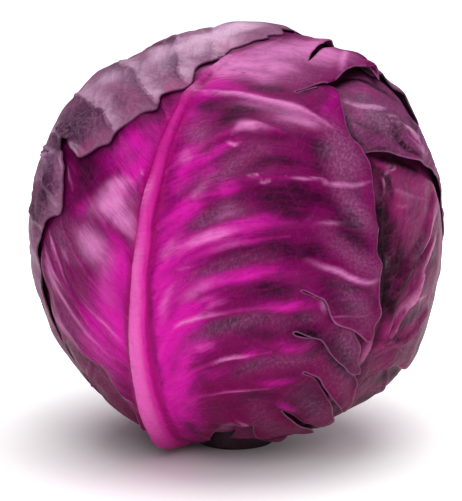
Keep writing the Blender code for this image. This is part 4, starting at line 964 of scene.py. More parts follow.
# The outermost: it comes over the crown from the back left, and its scalloped margin shows.
TOP_LEAF = Leaf(
    "top_leaf", -130,
    [
        (12.5, -11), (12, 0), (12.5, 11), (20, 20), (35, 38), (50, 50), (64, 59), (77, 63), (88, 63),
        (94, 64), (99, 65), (104, 65), (109, 66), (112, 66.3), (120, 68), (128, 70), (134, 69), (138, 66),
        (141, 62), (143.5, 58), (142, 54), (140, 50.5), (141, 49), (146, 51), (150, 55), (156, 59),
        (162, 59), (168, 57.5), (171, 57), (175, 56), (177, 52.5), (178.5, 51), (182, 48.3), (184, 45.5),
        (188, 43.2), (187, 41.5), (186, 40), (187, 37.5), (191, 34.3), (192, 31.5), (189.5, 28.5),
        (188.2, 26), (189, 23), (191, 20.2), (190.2, 16), (189, 12), (191.5, 6.5), (192, -1), (191, -6),
        (188, -15), (181, -30), (170, -42), (154, -50), (134, -55), (114, -58), (95, -58), (75, -54),
        (55, -46), (36, -34), (20, -18),
    ],
    STRAIGHT_RIB, (3.8, 1.8, 2.4),
    rule_veins(30, 96, 16, 50, 32, 15)[::2] + [
        [(34, 1), (48, 16), (60, 34), (72, 50)], [(52, 1), (66, 16), (80, 34), (92, 52)],
        [(70, 1), (84, 14), (100, 34), (112, 54)], [(86, 1), (100, 12), (114, 26), (122, 40), (128, 52)],
        [(100, 1), (116, 10), (137, 26), (150, 37), (157, 43), (164, 45), (168, 49), (173, 52)],
        [(112, 1), (130, 8), (150, 17), (159, 26), (167, 30), (175, 37), (181, 40), (187, 42)],
        [(122, 1), (142, 3), (163, 5), (167, 11), (180, 24), (185, 30), (190, 32)],
        [(130, 1), (152, -2), (171, -1), (174, 2), (182, 11), (187, 18)],
        [(116, 0), (136, -8), (156, -18), (172, -28)],
    ],
    vein_size=(0.8, 0.5),
    ridges=[
        ([(119.6, 53.4), (114.5, 54.1), (105.1, 57.4)], 1.3, 0.9),
        ([(126, 44), (128, 46.8), (130, 54), (129.8, 60.1), (130.4, 65.7), (130.4, 68)], 1.7, 0.9),
        ([(127.3, 42.8), (132.4, 47.4), (134.4, 50), (131, 48.6), (126, 46.9), (120.6, 46.5)], 1.3, 0.8),
        ([(114, 52), (108.1, 55.8), (107.6, 61.4), (106.2, 65.5)], 1.1, 0.9),
        ([(100.1, 53.8), (94.2, 57.8), (88.5, 62.1)], 0.9, 0.9),
        ([(139, 44), (147.5, 53.2), (151.8, 55.5), (156, 58.7), (157, 60)], 1.6, 1.1),
        ([(140.6, 48.8), (140.2, 52.3), (141.4, 56.3), (142.7, 61.7)], 0.9, 0.8),
        ([(137, 52), (137, 59), (134, 66)], 0.9, 1.2), ([(127, 56), (124, 62), (122, 66)], -0.9, 1.4),
        ([(136, 44), (135, 53), (136, 60)], -1, 1.3), ([(146, 47), (151, 51), (156, 55)], -1, 1.2),
    ],
    bulges=[(132, 62, 1.6, 6, 5), (116, 60, 1.2, 7, 5), (150, 50, 0.9, 8, 5)],
    scallop=[(-1, 0.021, 0.0032)], lift=(-0.3, 0.35), puff=0.45,
    # Painted light and shade of panels: each line has painted shade on one side and painted light on the
    # other.
    panels=[
        ([(152, -2), (171, -1), (174, 2), (182, 11), (187, 18)], 8),
        ([(142, 3), (163, 5), (167, 11), (180, 24), (185, 30), (190, 32)], 8),
        ([(150, 17), (159, 26), (167, 30), (175, 37), (181, 40), (187, 42)], 7),
        ([(137, 26), (150, 37), (157, 43), (164, 45), (168, 49), (173, 52)], 7),
        ([(122, 30), (134, 42), (141, 48)], 5),
    ],
    # Pale strokes: painted sheen over the crown, and pale veins with painted highlights along the folds of
    # its lobes.
    pale=[
        ([(171, 16), (180, 18), (188, 19)], 5, 0.55), ([(177, 0), (183, -3), (188, -6)], 4, 0.6),
        ([(124, 50), (125, 57), (124, 65)], 0.7, 0.8), ([(138, 51), (142, 58), (139, 62)], 0.5, 0.6),
        ([(141, 52), (151, 54), (161, 59)], 0.5, 0.7), ([(112, 56), (121, 57), (127, 54)], 0.5, 0.7),
        ([(173, 15), (177, 9), (179, 2), (183, -6)], 5, 0.9), ([(170, 2), (178, 12), (182, 18)], 7, 0.9),
        ([(160, 10), (170, 22), (178, 30)], 5, 0.8), ([(150, 28), (160, 33), (166, 34)], 4.5, 0.7),
        ([(182, 6), (188, 12)], 5, 0.5), ([(176, -4), (186, 2)], 5, 0.5),
        ([(119.6, 53.4), (114.5, 54.1), (105.1, 57.4)], 0.6, 0.6),
        ([(128, 46.8), (130, 54), (129.8, 60.1), (130.4, 65.7), (130.4, 68)], 0.7, 0.9),
        ([(127.3, 42.8), (132.4, 47.4), (134.4, 50), (131, 48.6), (126, 46.9), (120.6, 46.5)], 0.6, 0.8),
        ([(108.1, 55.8), (107.6, 61.4), (106.2, 65.5), (98.3, 64.4), (89.4, 63.1)], 0.6, 0.7),
        ([(100.1, 53.8), (94.2, 57.8), (88.5, 62.1)], 0.5, 0.6),
        ([(147.5, 53.2), (151.8, 55.5), (156, 58.7)], 0.6, 0.9),
    ],
    # Dark strokes: dark patches, and painted shade in the folds of its lobes.
    dark=[
        ([(139, 44), (151, 52), (162, 58)], 2.4, 0.7), ([(131, 54), (133, 61), (124, 66)], 2.4, 0.7),
        ([(119, 50), (113, 55), (107, 61)], 2.2, 0.7), ([(145, 43), (156, 50), (166, 55)], 3, 0.5),
        ([(139, 62), (128, 61), (118, 62), (109, 62), (96, 62)], 4, 0.8),
        ([(142, 40), (152, 45), (160, 52)], 6, 1), ([(136, 50), (122, 58), (104, 60)], 6, 0.75),
        ([(140, 42), (146, 50), (152, 54)], 3, 0.9), ([(165, 40), (172, 44), (176, 48)], 4.5, 0.6),
        ([(163, 18), (172, 34), (176, 38)], 2, 0.5), ([(136, 40), (134, 52)], 4, 0.7),
        ([(124, 58), (110, 58)], 5, 0.5), ([(166, 30), (170, 38)], 3, 0.4),
    ],
    bright=[
        ([(139, 60), (128, 60), (118, 61), (109, 61), (96, 60)], 5, 0.6),
        ([(176, 42), (184, 42)], 2.6, 0.4), ([(180, 32), (188, 33)], 2.6, 0.35),
        ([(168, 52), (174, 54)], 2.2, 0.35),
    ],
    bloom=[([(150, 20), (165, 28), (176, 30), (184, 22)], 11, 0.55), ([(120, 48), (136, 52)], 6, 0.3)],
)

# From the innermost leaf to the outermost.
LEAVES = [LOW_LEFT_LEAF, LOW_RIGHT_LEAF, RIGHT_LEAF, SHOULDER_LEAF, BACK_LEAF, FRONT_LEAF, TOP_LEAF]
for wrapper in LEAVES:
    wrapper.chart()


def deselect():
    """Leaves edit mode and selects nothing."""
    if bpy.context.object and bpy.context.object.mode != "OBJECT":
        bpy.ops.object.mode_set(mode="OBJECT")
    bpy.ops.object.select_all(action="DESELECT")


def work_on(piece):
    """Makes this piece the active and only selected one."""
    deselect()
    piece.select_set(True)
    bpy.context.view_layer.objects.active = piece


def put_attribute(mesh, name, values):
    """Stores a number or a vector for each corner, for the materials to read."""
    kind = "FLOAT_VECTOR" if values.ndim == 2 else "FLOAT"
    attribute = mesh.attributes.new(name, kind, "POINT")
    field = "vector" if values.ndim == 2 else "value"
    attribute.data.foreach_set(field, np.ascontiguousarray(values, np.float32).ravel())


def vein_fields(leaf, directions):
    """How far each place is outside the flanks of the nearest vein and of the midrib, and how far these
    stand out, in mm."""
    gap = np.full(len(directions), NO_VEIN)
    rib_gap = np.full(len(directions), NO_VEIN)
    rise = np.zeros(len(directions))
    for vein in leaf.veins:
        middle = vein.line.mean(axis=0)
        middle /= np.linalg.norm(middle)
        reach = np.arccos(np.clip(vein.line @ middle, -1.0, 1.0)).max() + VEIN_ANGLE
        close = np.flatnonzero(directions @ middle > math.cos(min(reach, 3.1)))
        if len(close) == 0:
            continue
        line = vein.line[::4] if len(vein.line) > 16 else vein.line
        near, fraction, _ = beside_line(directions[close], line)
        near = near / MM
        width = vein.foot_width + (vein.tip_width - vein.foot_width) * fraction
        height = vein.foot_height + (vein.tip_height - vein.foot_height) * fraction
        target = rib_gap if vein is leaf.veins[0] else gap
        target[close] = np.minimum(target[close], near - width)
        bump = height * np.exp(-((near / (0.62 * width + 0.25)) ** 2))
        rise[close] = np.maximum(rise[close], bump)
    return gap, rib_gap, rise


def stroke_mask(leaf, directions, strokes, wider, weaker):
    """How strongly the strokes paint each place. Each stroke is soft, and fades towards its ends."""
    mask = np.zeros(len(directions))
    for points, width, strength, *end in strokes:
        line = leaf.line_on_head(points, STROKE_STEP)
        near, fraction, _ = beside_line(directions, line)
        strength = weaker * (strength + ((end[0] if end else strength) - strength) * fraction)
        strength *= 0.45 + 0.55 * smooth_step(fraction, 0.0, 0.3) - 0.6 * smooth_step(fraction, 0.6, 1.0)
        mask = 1.0 - (1.0 - mask) * (1.0 - strength * np.exp(-((near / MM / (width * wider)) ** 2)))
    return mask


def leaf_relief(leaf, directions, inside, foot, gap, vein_rise):
    """How far each place stands out of the plain blade, in mm, and how far it is drawn sideways."""
    along, across = leaf.angles(directions)
    height = vein_rise * (0.25 + 0.75 * foot)
    for points, rise, width in leaf.ridges:
        near, fraction, side = beside_line(directions, leaf.line_on_head(points, FOLD_STEP))
        upper = side * math.copysign(1.0, points[-1][1] - points[0][1]) > 0.0
        fade = 1.0 - 0.85 * smooth_step(fraction, 0.6, 1.0)
        height += rise * fade * np.exp(-((near / MM / (width * np.where(upper, 1.25, 0.62))) ** 2))
    puffed = smooth_step(gap, 0.5, 6.0) * smooth_step(inside, 0.0, 0.008)
    height += leaf.puff * puffed * foot
    for bulge_along, bulge_across, rise, length, width in leaf.bulges:
        apart = ((along - bulge_along) / length) ** 2 + ((across - bulge_across) / width) ** 2
        height += rise * np.exp(-apart)
    height += 0.28 * ripple(directions, 24.0, leaf.name) * foot
    height += 0.10 * ripple(directions, 9.0, leaf.name + "fine") * foot
    near_margin = np.exp(-((inside / MARGIN_BAND) ** 2))
    lift, waves = leaf.lift
    height += near_margin * foot * (lift + waves * ripple(directions, 17.0, leaf.name + "margin"))

    shift = np.zeros((len(directions), 3))
    for points, upper, rise, tuck in leaf.lips:
        line = leaf.line_on_head(points, LIP_STEP)
        near, fraction, side = beside_line(directions, line)
        fade = smooth_step(fraction, 0.0, 0.3) * (1.0 - smooth_step(near, 0.0, LIP_REACH))
        over = side * upper > 0.0
        height += np.where(over, rise * fade, -0.3 * fade)
        ends = line[-1] - line[0]
        sideways = np.cross(directions, ends / np.linalg.norm(ends)) * upper
        shift += np.where(over, 0.0, tuck * MM * fade)[:, None] * sideways
    return np.maximum(height, -0.9), shift


def painted_panel_light(leaf, directions):
    """From -1 on the side of a panel's line that has painted shade to 1 on its side with painted light."""
    panel = np.zeros(len(directions))
    for points, reach in leaf.panels:
        near, fraction, side = beside_line(directions, leaf.line_on_head(points, FOLD_STEP))
        ends = smooth_step(fraction, 0.0, 0.15) * (1.0 - 0.5 * smooth_step(fraction, 0.9, 1.0))
        panel += side * ends * np.exp(-((near / MM / reach) ** 1.5))
    return np.clip(panel, -1.0, 1.0)


def thicken(piece, thickness):
    """Gives the sheet its thickness in mm at each corner, inwards, by the nearest hundredth of THICKEST."""
    group = piece.vertex_groups.new(name="thickness")
    hundredths = np.clip(np.round(thickness / THICKEST * 100), 1, 100).astype(int)
    for value in range(1, 101):
        rows = np.flatnonzero(hundredths == value)
        if len(rows):
            group.add(rows.tolist(), value / 100.0, "REPLACE")
    work_on(piece)
    solidify = piece.modifiers.new("thickness", "SOLIDIFY")
    solidify.thickness = THICKEST * MM
    solidify.offset = -1.0
    solidify.vertex_group = "thickness"
    solidify.thickness_vertex_group = 0.0
    solidify.use_rim = True
    bpy.ops.object.modifier_apply(modifier=solidify.name)
    piece.vertex_groups.clear()
    bpy.ops.object.shade_smooth()


def make_leaf(order):
    """The leaf of this place in the order, laid over those before it and under those after it."""
    leaf = LEAVES[order]
    directions, faces = leaf.triangles(LEAVES[order + 1:])
    radius = head_radius(directions) + BLADE_THICKNESS
    for below in LEAVES[:order]:
        radius += BLADE_PITCH * (1.0 - smooth_step(below.roughly_outside(directions), RISE_START, RISE_END))
    shown = np.ones(len(directions))
    uncovered = np.full(len(directions), 1.0)
    for above in LEAVES[order + 1:]:
        outside = above.roughly_outside(directions)
        uncovered = np.minimum(uncovered, outside)
        shown *= smooth_step(outside, COVER_START, COVER_END)
    inside = -leaf.outside(directions)
    along, _ = leaf.angles(directions)
    foot = smooth_step(along, 12.0, 30.0)
    gap, rib_gap, vein_rise = vein_fields(leaf, directions)
    height, shift = leaf_relief(leaf, directions, inside, foot, np.minimum(gap, rib_gap), vein_rise)
    radius = radius + shown * height * MM
    points = HEAD_CENTRE + directions * radius[:, None] + shift
    low = points[:, 2] < FLOOR_REST
    points[low, 2] = FLOOR_REST * np.exp((points[low, 2] - FLOOR_REST) / FLOOR_REST)

    mesh = bpy.data.meshes.new(leaf.name + "_blade")
    mesh.from_pydata([tuple(p) for p in points], [], faces)
    mesh.validate()
    piece = bpy.data.objects.new(leaf.name + "_blade", mesh)
    bpy.context.scene.collection.objects.link(piece)

    fields = {
        "laid_flat": np.column_stack([leaf.flat(directions) / MM, np.zeros(len(directions))]),
        "flow": leaf.flow(directions),
        "vein_gap": gap,
        "rib_gap": rib_gap,
        "from_margin": inside / MM,
        "up_leaf": along / 180.0,
        # Painted shade on this leaf next to the margin of a leaf that lies over it.
        "tucked": np.exp(-np.maximum(uncovered, 0.0) / COVER_SHADE_BAND),
        # Painted light and shade of the panels.
        "panel": painted_panel_light(leaf, directions),
    }
    for kind, (wider, weaker) in PAINTS.items():
        fields[kind] = stroke_mask(leaf, directions, leaf.paint[kind], wider, weaker)
    for name, values in fields.items():
        put_attribute(mesh, name, values)
    blade = 0.5 + 0.35 * smooth_step(inside, 0.0, 0.004)
    thicken(piece, blade + vein_rise * 0.9 * (0.25 + 0.75 * foot))
    return piece


class Wire:
    """A value in a material. Sums and products of wires add their Math nodes."""

    def __init__(self, finish, socket):
        self.finish, self.socket = finish, socket

    def __add__(self, other):
        return self.finish.maths("ADD", self, other)

    def __sub__(self, other):
        return self.finish.maths("SUBTRACT", self, other)

    def __rsub__(self, other):
        return self.finish.maths("SUBTRACT", other, self)

    def __mul__(self, other):
        return self.finish.maths("MULTIPLY", self, other)

    def __pow__(self, other):
        return self.finish.maths("POWER", self, other)

    __radd__ = __add__
    __rmul__ = __mul__


class Finish:
    """A procedural material and the nodes that feed its shader."""

    def __init__(self, name):
        self.material = bpy.data.materials.new(name)
        self.material.use_nodes = True
        self.tree = self.material.node_tree
        self.shader = self.tree.nodes["Principled BSDF"]

    def node(self, kind, settings, sockets, output=0):
        """A node of this kind: its settings are made first, then its sockets are fed."""
        made = self.tree.nodes.new(kind)
        for name, value in settings.items():
            setattr(made, name, value)
        for name, value in sockets.items():
            self.feed(made.inputs[name], value)
        return Wire(self, made.outputs[output])

    def feed(self, socket, value):
        """Links a wire to the socket, or sets a plain value there."""
        if isinstance(value, Wire):
            self.tree.links.new(value.socket, socket)
        elif value is not None:
            socket.default_value = value

    def maths(self, operation, *values):
        return self.node("ShaderNodeMath", {"operation": operation}, dict(enumerate(values)))

    def vectors(self, operation, *values, output=0):
        return self.node("ShaderNodeVectorMath", {"operation": operation}, dict(enumerate(values)), output)

    def ramp(self, value, low, high, start=0.0, end=1.0):
        """Eases from start, where the value is at low, to end, where it is at high."""
        return self.node("ShaderNodeMapRange", {"interpolation_type": "SMOOTHSTEP"},
                         {"Value": value, 1: low, 2: high, 3: start, 4: end})

    def blend(self, mask, first, second):
        """The first colour, with the second over it as strongly as the mask says."""
        return self.node("ShaderNodeMix", {"data_type": "RGBA"}, {0: mask, 6: first, 7: second}, 2)

    def attribute(self, name, output="Fac"):
        return self.node("ShaderNodeAttribute", {"attribute_name": name}, {}, output)

    def place(self):
        return self.node("ShaderNodeTexCoord", {}, {}, "Object")

    def noise(self, vector, scale, detail=3.0, roughness=0.55):
        sockets = {"Vector": vector, "Scale": scale, "Detail": detail, "Roughness": roughness}
        return self.node("ShaderNodeTexNoise", {}, sockets, "Fac")

    def cells(self, vector, scale):
        """How far each place is from the walls of irregular cells."""
        settings = {"feature": "DISTANCE_TO_EDGE"}
        return self.node("ShaderNodeTexVoronoi", settings, {"Vector": vector, "Scale": scale})

    def bump(self, height, distance, strength):
        sockets = {"Height": height, "Distance": distance, "Strength": strength}
        self.coat("Normal", self.node("ShaderNodeBump", {}, sockets))

    def coat(self, name, value):
        """Sets one of the shader's own values."""
        self.feed(self.shader.inputs[name], value)


def tint(red, green, blue):
    """A colour by its screen values from 0 to 255."""
    shares = [value / 255 for value in (red, green, blue)]
    return (*[((c + 0.055) / 1.055) ** 2.4 if c > 0.04 else c / 12.92 for c in shares], 1.0)


def leaf_finish(name, blade, low, bright, dark, pale, bloom, vein, rib, groove, rim, bloom_all=0.1, net=0.3,
                veined=0.5, rimmed=0.4, drift=0.3):
    """Leaf skin: streaks along the veins, paler veins and fine net, dark and bright patches, waxy bloom, and
    painted light and shade: a darker lower part, lit and shaded sides of panels, a highlight along the midrib
    and shade in its grooves, shade next to the margins of leaves that lie over it, and the painted light,
    highlights and shade that some strokes hold.
    The last five values say how strong the bloom, net, veins, rims and broad patches are."""
    finish = Finish(name)
    ramp, attribute, noise = finish.ramp, finish.attribute, finish.noise
    flat, flow = attribute("laid_flat", "Vector"), attribute("flow", "Vector")

    def stretched(x, y, roughness):
        """Noise with its own grain along and across the flow."""
        return noise(finish.vectors("MULTIPLY", flow, (x, y, 1.0)), 1.0, 3.0, roughness)

    streak = stretched(0.055, 0.34, 0.6)
    fibre = stretched(0.30, 1.15, 0.65)
    speck = stretched(1.0, 0.45, 0.7)
    lengthwise = stretched(1.2, 0.07, 0.6)
    mottle = noise(flat, 0.16, 4.0)
    cloud = noise(flat, 0.032, 2.0)
    wander = finish.node("ShaderNodeTexNoise", {}, {"Vector": flat, "Scale": 0.22, "Detail": 2.0}, "Color")
    warped = finish.vectors("MULTIPLY_ADD", wander, (5.0, 5.0, 0.0), flat)
    coarse_net, fine_net = finish.cells(warped, 0.17), finish.cells(warped, 0.52)
    lines = ramp(coarse_net, 0.10, 0.0) * 0.7 + ramp(fine_net, 0.12, 0.0) * 0.3

    def frayed(mask, amount=0.9):
        """A painted mask with its edges torn along the flow."""
        grain = (streak - 0.5) * amount + (fibre - 0.5) * (0.7 * amount)
        return ramp(mask + grain * ramp(mask, 0.0, 0.45), 0.04, 1.05)

    up, rib_gap, vein_gap = attribute("up_leaf"), attribute("rib_gap"), attribute("vein_gap")
    on_rib = ramp(rib_gap, 0.6, -1.2)
    panel_light_and_shade = attribute("panel") * ramp(mottle, 0.3, 0.65, 0.6, 1.15)
    # The midrib takes the groove colour towards its foot and its tip.
    rib_darker_at_ends = finish.blend(ramp(up, 0.45, 0.85) * 0.75 + ramp(up, 0.22, 0.08) * 0.7, rib, groove)
    # Painted highlight along the middle of the midrib, away from its foot and tip.
    rib_highlight = ramp(rib_gap, -1.2, -2.6) * ramp(up, 0.75, 0.4) * ramp(up, 0.10, 0.30)
    # Painted shade in the grooves along both sides of the midrib.
    rib_groove_shade = ramp(rib_gap, -1.1, 0.4) * ramp(rib_gap, 3.6, 0.9)
    drawn = ramp(vein_gap, 0.6, -0.25) * ramp(mottle, 0.35, 0.6, 0.45, 1.0)
    # Dark patches of the skin and painted shade, from the dark strokes and random mottling.
    shade = frayed(attribute("dark")) + ramp(mottle, 0.56, 0.8) * 0.3
    wax = attribute("bloom") * ramp(speck + (fibre - 0.5) * 0.4, 0.36, 0.72, 0.20, 0.72)
    dusted = ramp(vein_gap, 0.0, 4.0, 0.5, 1.3) * ramp(mottle + (cloud - 0.5), 0.35, 0.65, 0.35, 1.5)
    wax = wax + ramp(speck, 0.45, 0.8) * bloom_all * dusted
    wax = wax * (1.0 - attribute("bright") * 0.6)
    edge = ramp(attribute("from_margin"), 0.65, 0.15)

    # From the lowest coat to the uppermost, each as strong as its mask.
    coats = [
        # Painted shade: each leaf keeps the darker low colour towards its foot and takes the blade colour
        # higher up.
        (ramp(up + (mottle - 0.5) * 0.2, 0.15, 0.5), blade),
        # Bright strokes: bright magenta skin, and on the front leaf also painted light along the lit sides of
        # its ridges.
        (frayed(attribute("bright")), bright),
        # Painted light on the lit side of each panel, then painted shade on its other side.
        (ramp(panel_light_and_shade, 0.0, 1.0) * 0.8, pale),
        (ramp(panel_light_and_shade, 0.0, -1.0) * 0.75, dark),
        (ramp(rib_gap, 15.0, 0.5) * drift, bright),
        (ramp(cloud, 0.52, 0.68) * drift * 1.5, dark),
        (ramp(cloud + (streak - 0.5) * 0.3, 0.46, 0.30) * drift * 1.6, bright),
        (on_rib * ramp(lengthwise, 0.2, 0.7, 0.6, 1.0), rib_darker_at_ends),
        # Painted highlight on the midrib, then painted shade in the grooves along it.
        (rib_highlight * 0.38, pale),
        (rib_groove_shade * 0.8, groove),
        (ramp(vein_gap, 3.0, 0.4) * drift * 0.6, dark),
        (drawn * veined, vein),
        # Pale strokes: pale veins and patches, and also painted highlights along ridges and painted sheen
        # towards the crown.
        (frayed(attribute("pale"), 0.4), pale),
        # Dark strokes: dark patches of the skin, and also painted shade and shadow in folds, slits and gaps
        # and under margins.
        (finish.maths("MINIMUM", shade, 1.0), dark),
        (ramp(fibre, 0.52, 0.30) * (0.14 - on_rib * 0.11), dark),
        (wax, bloom),
        (lines * net, vein),
        # Margin rims: their own pale edge, or on mauve leaves a dark line that is partly painted shadow.
        (edge * rimmed, rim),
        # Painted shade next to the margins of leaves that lie over this one.
        (attribute("tucked") * 0.75, dark),
        # Near-black painted shadow where the dark strokes are strongest, in deep gaps and under overhanging
        # margins.
        (ramp(attribute("dark"), 0.96, 1.12), tint(12, 0, 6)),
    ]
    colour = low
    for mask, over in coats:
        colour = finish.blend(mask, colour, over)
    finish.coat("Base Color", colour)
    finish.coat("Roughness", 0.42 + wax * 0.25 + (mottle - 0.5) * 0.12)
    finish.coat("Specular IOR Level", 0.05)
    relief = (fibre * 0.3 + streak * 0.8) * (1.0 - on_rib) + lengthwise * on_rib * 0.6
    finish.bump(relief + lines * 0.35 + speck * 0.15 + mottle * 0.3, 0.0008, 0.5)
    return finish.material


# In each skin, low is painted shade on the leaf's lower part, pale also gives painted highlights and the lit
# side of panels, dark also gives painted shade and shadow, and groove gives painted shade along the midrib.
MAGENTA_SKIN = leaf_finish(
    "magenta leaf skin", blade=tint(106, 0, 74), low=tint(98, 0, 58), bright=tint(198, 17, 153),
    dark=tint(44, 0, 30), pale=tint(218, 128, 192), bloom=tint(148, 98, 134), vein=tint(206, 44, 156),
    rib=tint(214, 42, 158), groove=tint(150, 0, 98), rim=tint(164, 106, 146),
    bloom_all=0.04, net=0.05, veined=0.25, rimmed=0.35, drift=0.0,
)
MAUVE_SKIN = leaf_finish(
    "mauve leaf skin", blade=tint(122, 78, 108), low=tint(92, 34, 64), bright=tint(160, 56, 116),
    dark=tint(62, 24, 52), pale=tint(208, 168, 198), bloom=tint(168, 144, 168), vein=tint(176, 128, 160),
    # The dark rim is partly the margin's own dark edge and partly a painted shadow line under it.
    rib=tint(190, 110, 158), groove=tint(100, 52, 84), rim=tint(60, 18, 46),
    bloom_all=0.22, net=0.14, veined=0.4, rimmed=0.6,
)
DARK_SKIN = leaf_finish(
    "dark leaf skin", blade=tint(110, 22, 74), low=tint(82, 10, 50), bright=tint(150, 26, 104),
    dark=tint(26, 0, 14), pale=tint(206, 122, 172), bloom=tint(140, 104, 128), vein=tint(150, 62, 114),
    rib=tint(130, 40, 92), groove=tint(64, 8, 40), rim=tint(120, 76, 104),
    bloom_all=0.06, net=0.10, veined=0.3, rimmed=0.3,
)
SHOULDER_SKIN = leaf_finish(
    "shoulder leaf skin", blade=tint(106, 42, 84), low=tint(84, 22, 56), bright=tint(156, 42, 118),
    dark=tint(46, 10, 32), pale=tint(204, 142, 184), bloom=tint(150, 118, 144), vein=tint(170, 100, 148),
    rib=tint(170, 80, 134), groove=tint(86, 26, 66), rim=tint(150, 100, 134),
    bloom_all=0.16, net=0.16, veined=0.4, rimmed=0.35,
)


def flesh_finish():
    """The cut and the side of the stalk: pale wet flesh with rings and specks, and a dark purple side and rim
    that are partly the stalk's skin and partly painted shade.
    """
    finish = Finish("cut stalk")
    place = finish.place()
    split = finish.node("ShaderNodeSeparateXYZ", {}, {0: place})
    x, y = split, Wire(finish, split.socket.node.outputs[1])
    far = (x * x + y * y) ** 0.5
    noise = finish.noise(place, 260.0, 4.0)
    rings = finish.node("ShaderNodeTexWave", {"wave_type": "RINGS", "rings_direction": "Z"},
                        {"Vector": place, "Scale": 120.0, "Distortion": 3.0, "Detail": 2.0}, "Fac")
    colour = finish.blend(finish.ramp(far, 0.004, 0.0135), tint(206, 192, 168), tint(170, 138, 118))
    colour = finish.blend(rings * 0.3, colour, tint(150, 116, 98))
    colour = finish.blend(finish.ramp(noise, 0.5, 0.8) * 0.6, colour, tint(120, 84, 70))
    # Dark purple towards the side: partly the stalk's skin, partly painted shade.
    colour = finish.blend(finish.ramp(far, 0.0125, 0.0152), colour, tint(54, 18, 40))
    finish.coat("Base Color", colour)
    finish.coat("Roughness", 0.45 + noise * 0.3)
    finish.bump(noise + rings * 0.4, 0.0006, 0.6)
    return finish.material


def heart_finish():
    """Inner leaves: even magenta with a paler net."""
    finish = Finish("heart leaf")
    place = finish.place()
    mottle = finish.noise(place, 70.0, 4.0)
    net = finish.ramp(finish.cells(place, 120.0), 0.08, 0.0)
    colour = finish.blend(mottle, tint(96, 20, 66), tint(150, 44, 112))
    colour = finish.blend(net * 0.5, colour, tint(188, 110, 158))
    finish.coat("Base Color", colour)
    finish.coat("Roughness", 0.4 + mottle * 0.2)
    finish.bump(mottle, 0.0008, 0.5)
    return finish.material


def stem_profile(clearance):
    """The stem's radius by height, from its widest straight part to its tip, grown by a clearance."""
    profile = []
    for k in range(7):
        height = STEM_STRAIGHT_HEIGHT + k / 6 * (STEM_HEIGHT - STEM_STRAIGHT_HEIGHT)
        ease = smooth_step(k / 6, 0.0, 1.0)
        profile.append((STEM_RADIUS + ease * (STEM_CORE_RADIUS - STEM_RADIUS) + clearance, height))
    for k in range(1, 4):
        angle = math.radians(22.5 * k)
        profile.append((STEM_CORE_RADIUS * math.cos(angle) + clearance,
                        STEM_HEIGHT + STEM_CORE_RADIUS * math.sin(angle) + clearance * k / 3))
    return profile


def select_faces(piece, wanted):
    """In edit mode, selects only the wanted faces."""
    bpy.ops.mesh.select_all(action="DESELECT")
    bpy.ops.object.mode_set(mode="OBJECT")
    for face in piece.data.polygons:
        face.select = wanted(face)
    bpy.ops.object.mode_set(mode="EDIT")


def scarred(x, y, z):
    """A place on the stalk, moved by the scars round its foot or the slight hollow of its cut face."""
    turn, far = math.atan2(y, x), math.hypot(x, y)
    if 0.0005 < z < 0.02:
        scar = 0.0004 * math.sin(5.0 * turn + z * 400.0) + 0.0002 * math.sin(11.0 * turn)
        grown = 1.0 + (scar - 0.0003) / max(far, 1e-4)
        return x * grown, y * grown, z
    if z <= 0.0005:
        return x, y, z + 0.0001 * (1.0 + math.sin(9.0 * turn)) * (1.0 - far / STEM_RADIUS)
    return x, y, z


def make_stem():
    """The stalk, from its cut face up into the heart, with the scars of old leaves round its foot."""
    deselect()
    bpy.ops.mesh.primitive_cylinder_add(vertices=64, radius=STEM_RADIUS, depth=STEM_STRAIGHT_HEIGHT,
                                        location=(0.0, 0.0, STEM_STRAIGHT_HEIGHT / 2))
    stem = bpy.context.object
    stem.name = stem.data.name = "stalk"
    bpy.ops.object.transform_apply()
    bpy.ops.object.mode_set(mode="EDIT")
    bpy.ops.mesh.select_mode(type="FACE")

    def on_top(face):
        return face.normal.z > 0.9 and face.center.z > height - 1e-5

    radius, height = STEM_RADIUS, STEM_STRAIGHT_HEIGHT
    for wider, higher in stem_profile(0.0)[1:]:
        select_faces(stem, on_top)
        bpy.ops.mesh.extrude_region_move(TRANSFORM_OT_translate={"value": (0.0, 0.0, higher - height)})
        bpy.ops.transform.resize(value=(wider / radius, wider / radius, 1.0))
        radius, height = wider, higher
    select_faces(stem, on_top)
    bpy.ops.mesh.inset(thickness=radius * 0.5)
    bpy.ops.transform.translate(value=(0.0, 0.0, 0.0004))
    select_faces(stem, lambda face: face.normal.z < -0.9)
    bpy.ops.mesh.bevel(offset=0.0009, segments=3, affect="EDGES")
    select_faces(stem, lambda face: face.normal.z < -0.99 and face.center.z < 1e-5)
    for _ in range(5):
        bpy.ops.mesh.inset(thickness=0.0024)
    bpy.ops.object.mode_set(mode="OBJECT")
    for vertex in stem.data.vertices:
        vertex.co = scarred(*vertex.co)
    bpy.ops.object.shade_smooth_by_angle(angle=math.radians(40.0))
    return stem


def heart_surface(directions):
    """How far the heart's surface is from the middle of the head: margins wind up round it as low steps."""
    around = np.arctan2(directions[:, 0], -directions[:, 1])
    up = np.degrees(np.arccos(np.clip(-directions[:, 2], -1.0, 1.0)))
    turn = (around / (2.0 * math.pi) * 3.0 + up / 180.0 * 1.6 + 0.03 * np.sin(up / 6.0)) % 1.0
    fade = smooth_step(up, 30.0, 70.0) * (1.0 - smooth_step(up, 150.0, 175.0))
    step = turn - smooth_step(turn, 0.985, 1.0)
    radius = head_radius(directions) - HEART_GAP - 0.0016 * fade * step
    return radius - 0.00025 * (1.0 + ripple(directions, 14.0, 5)) * fade


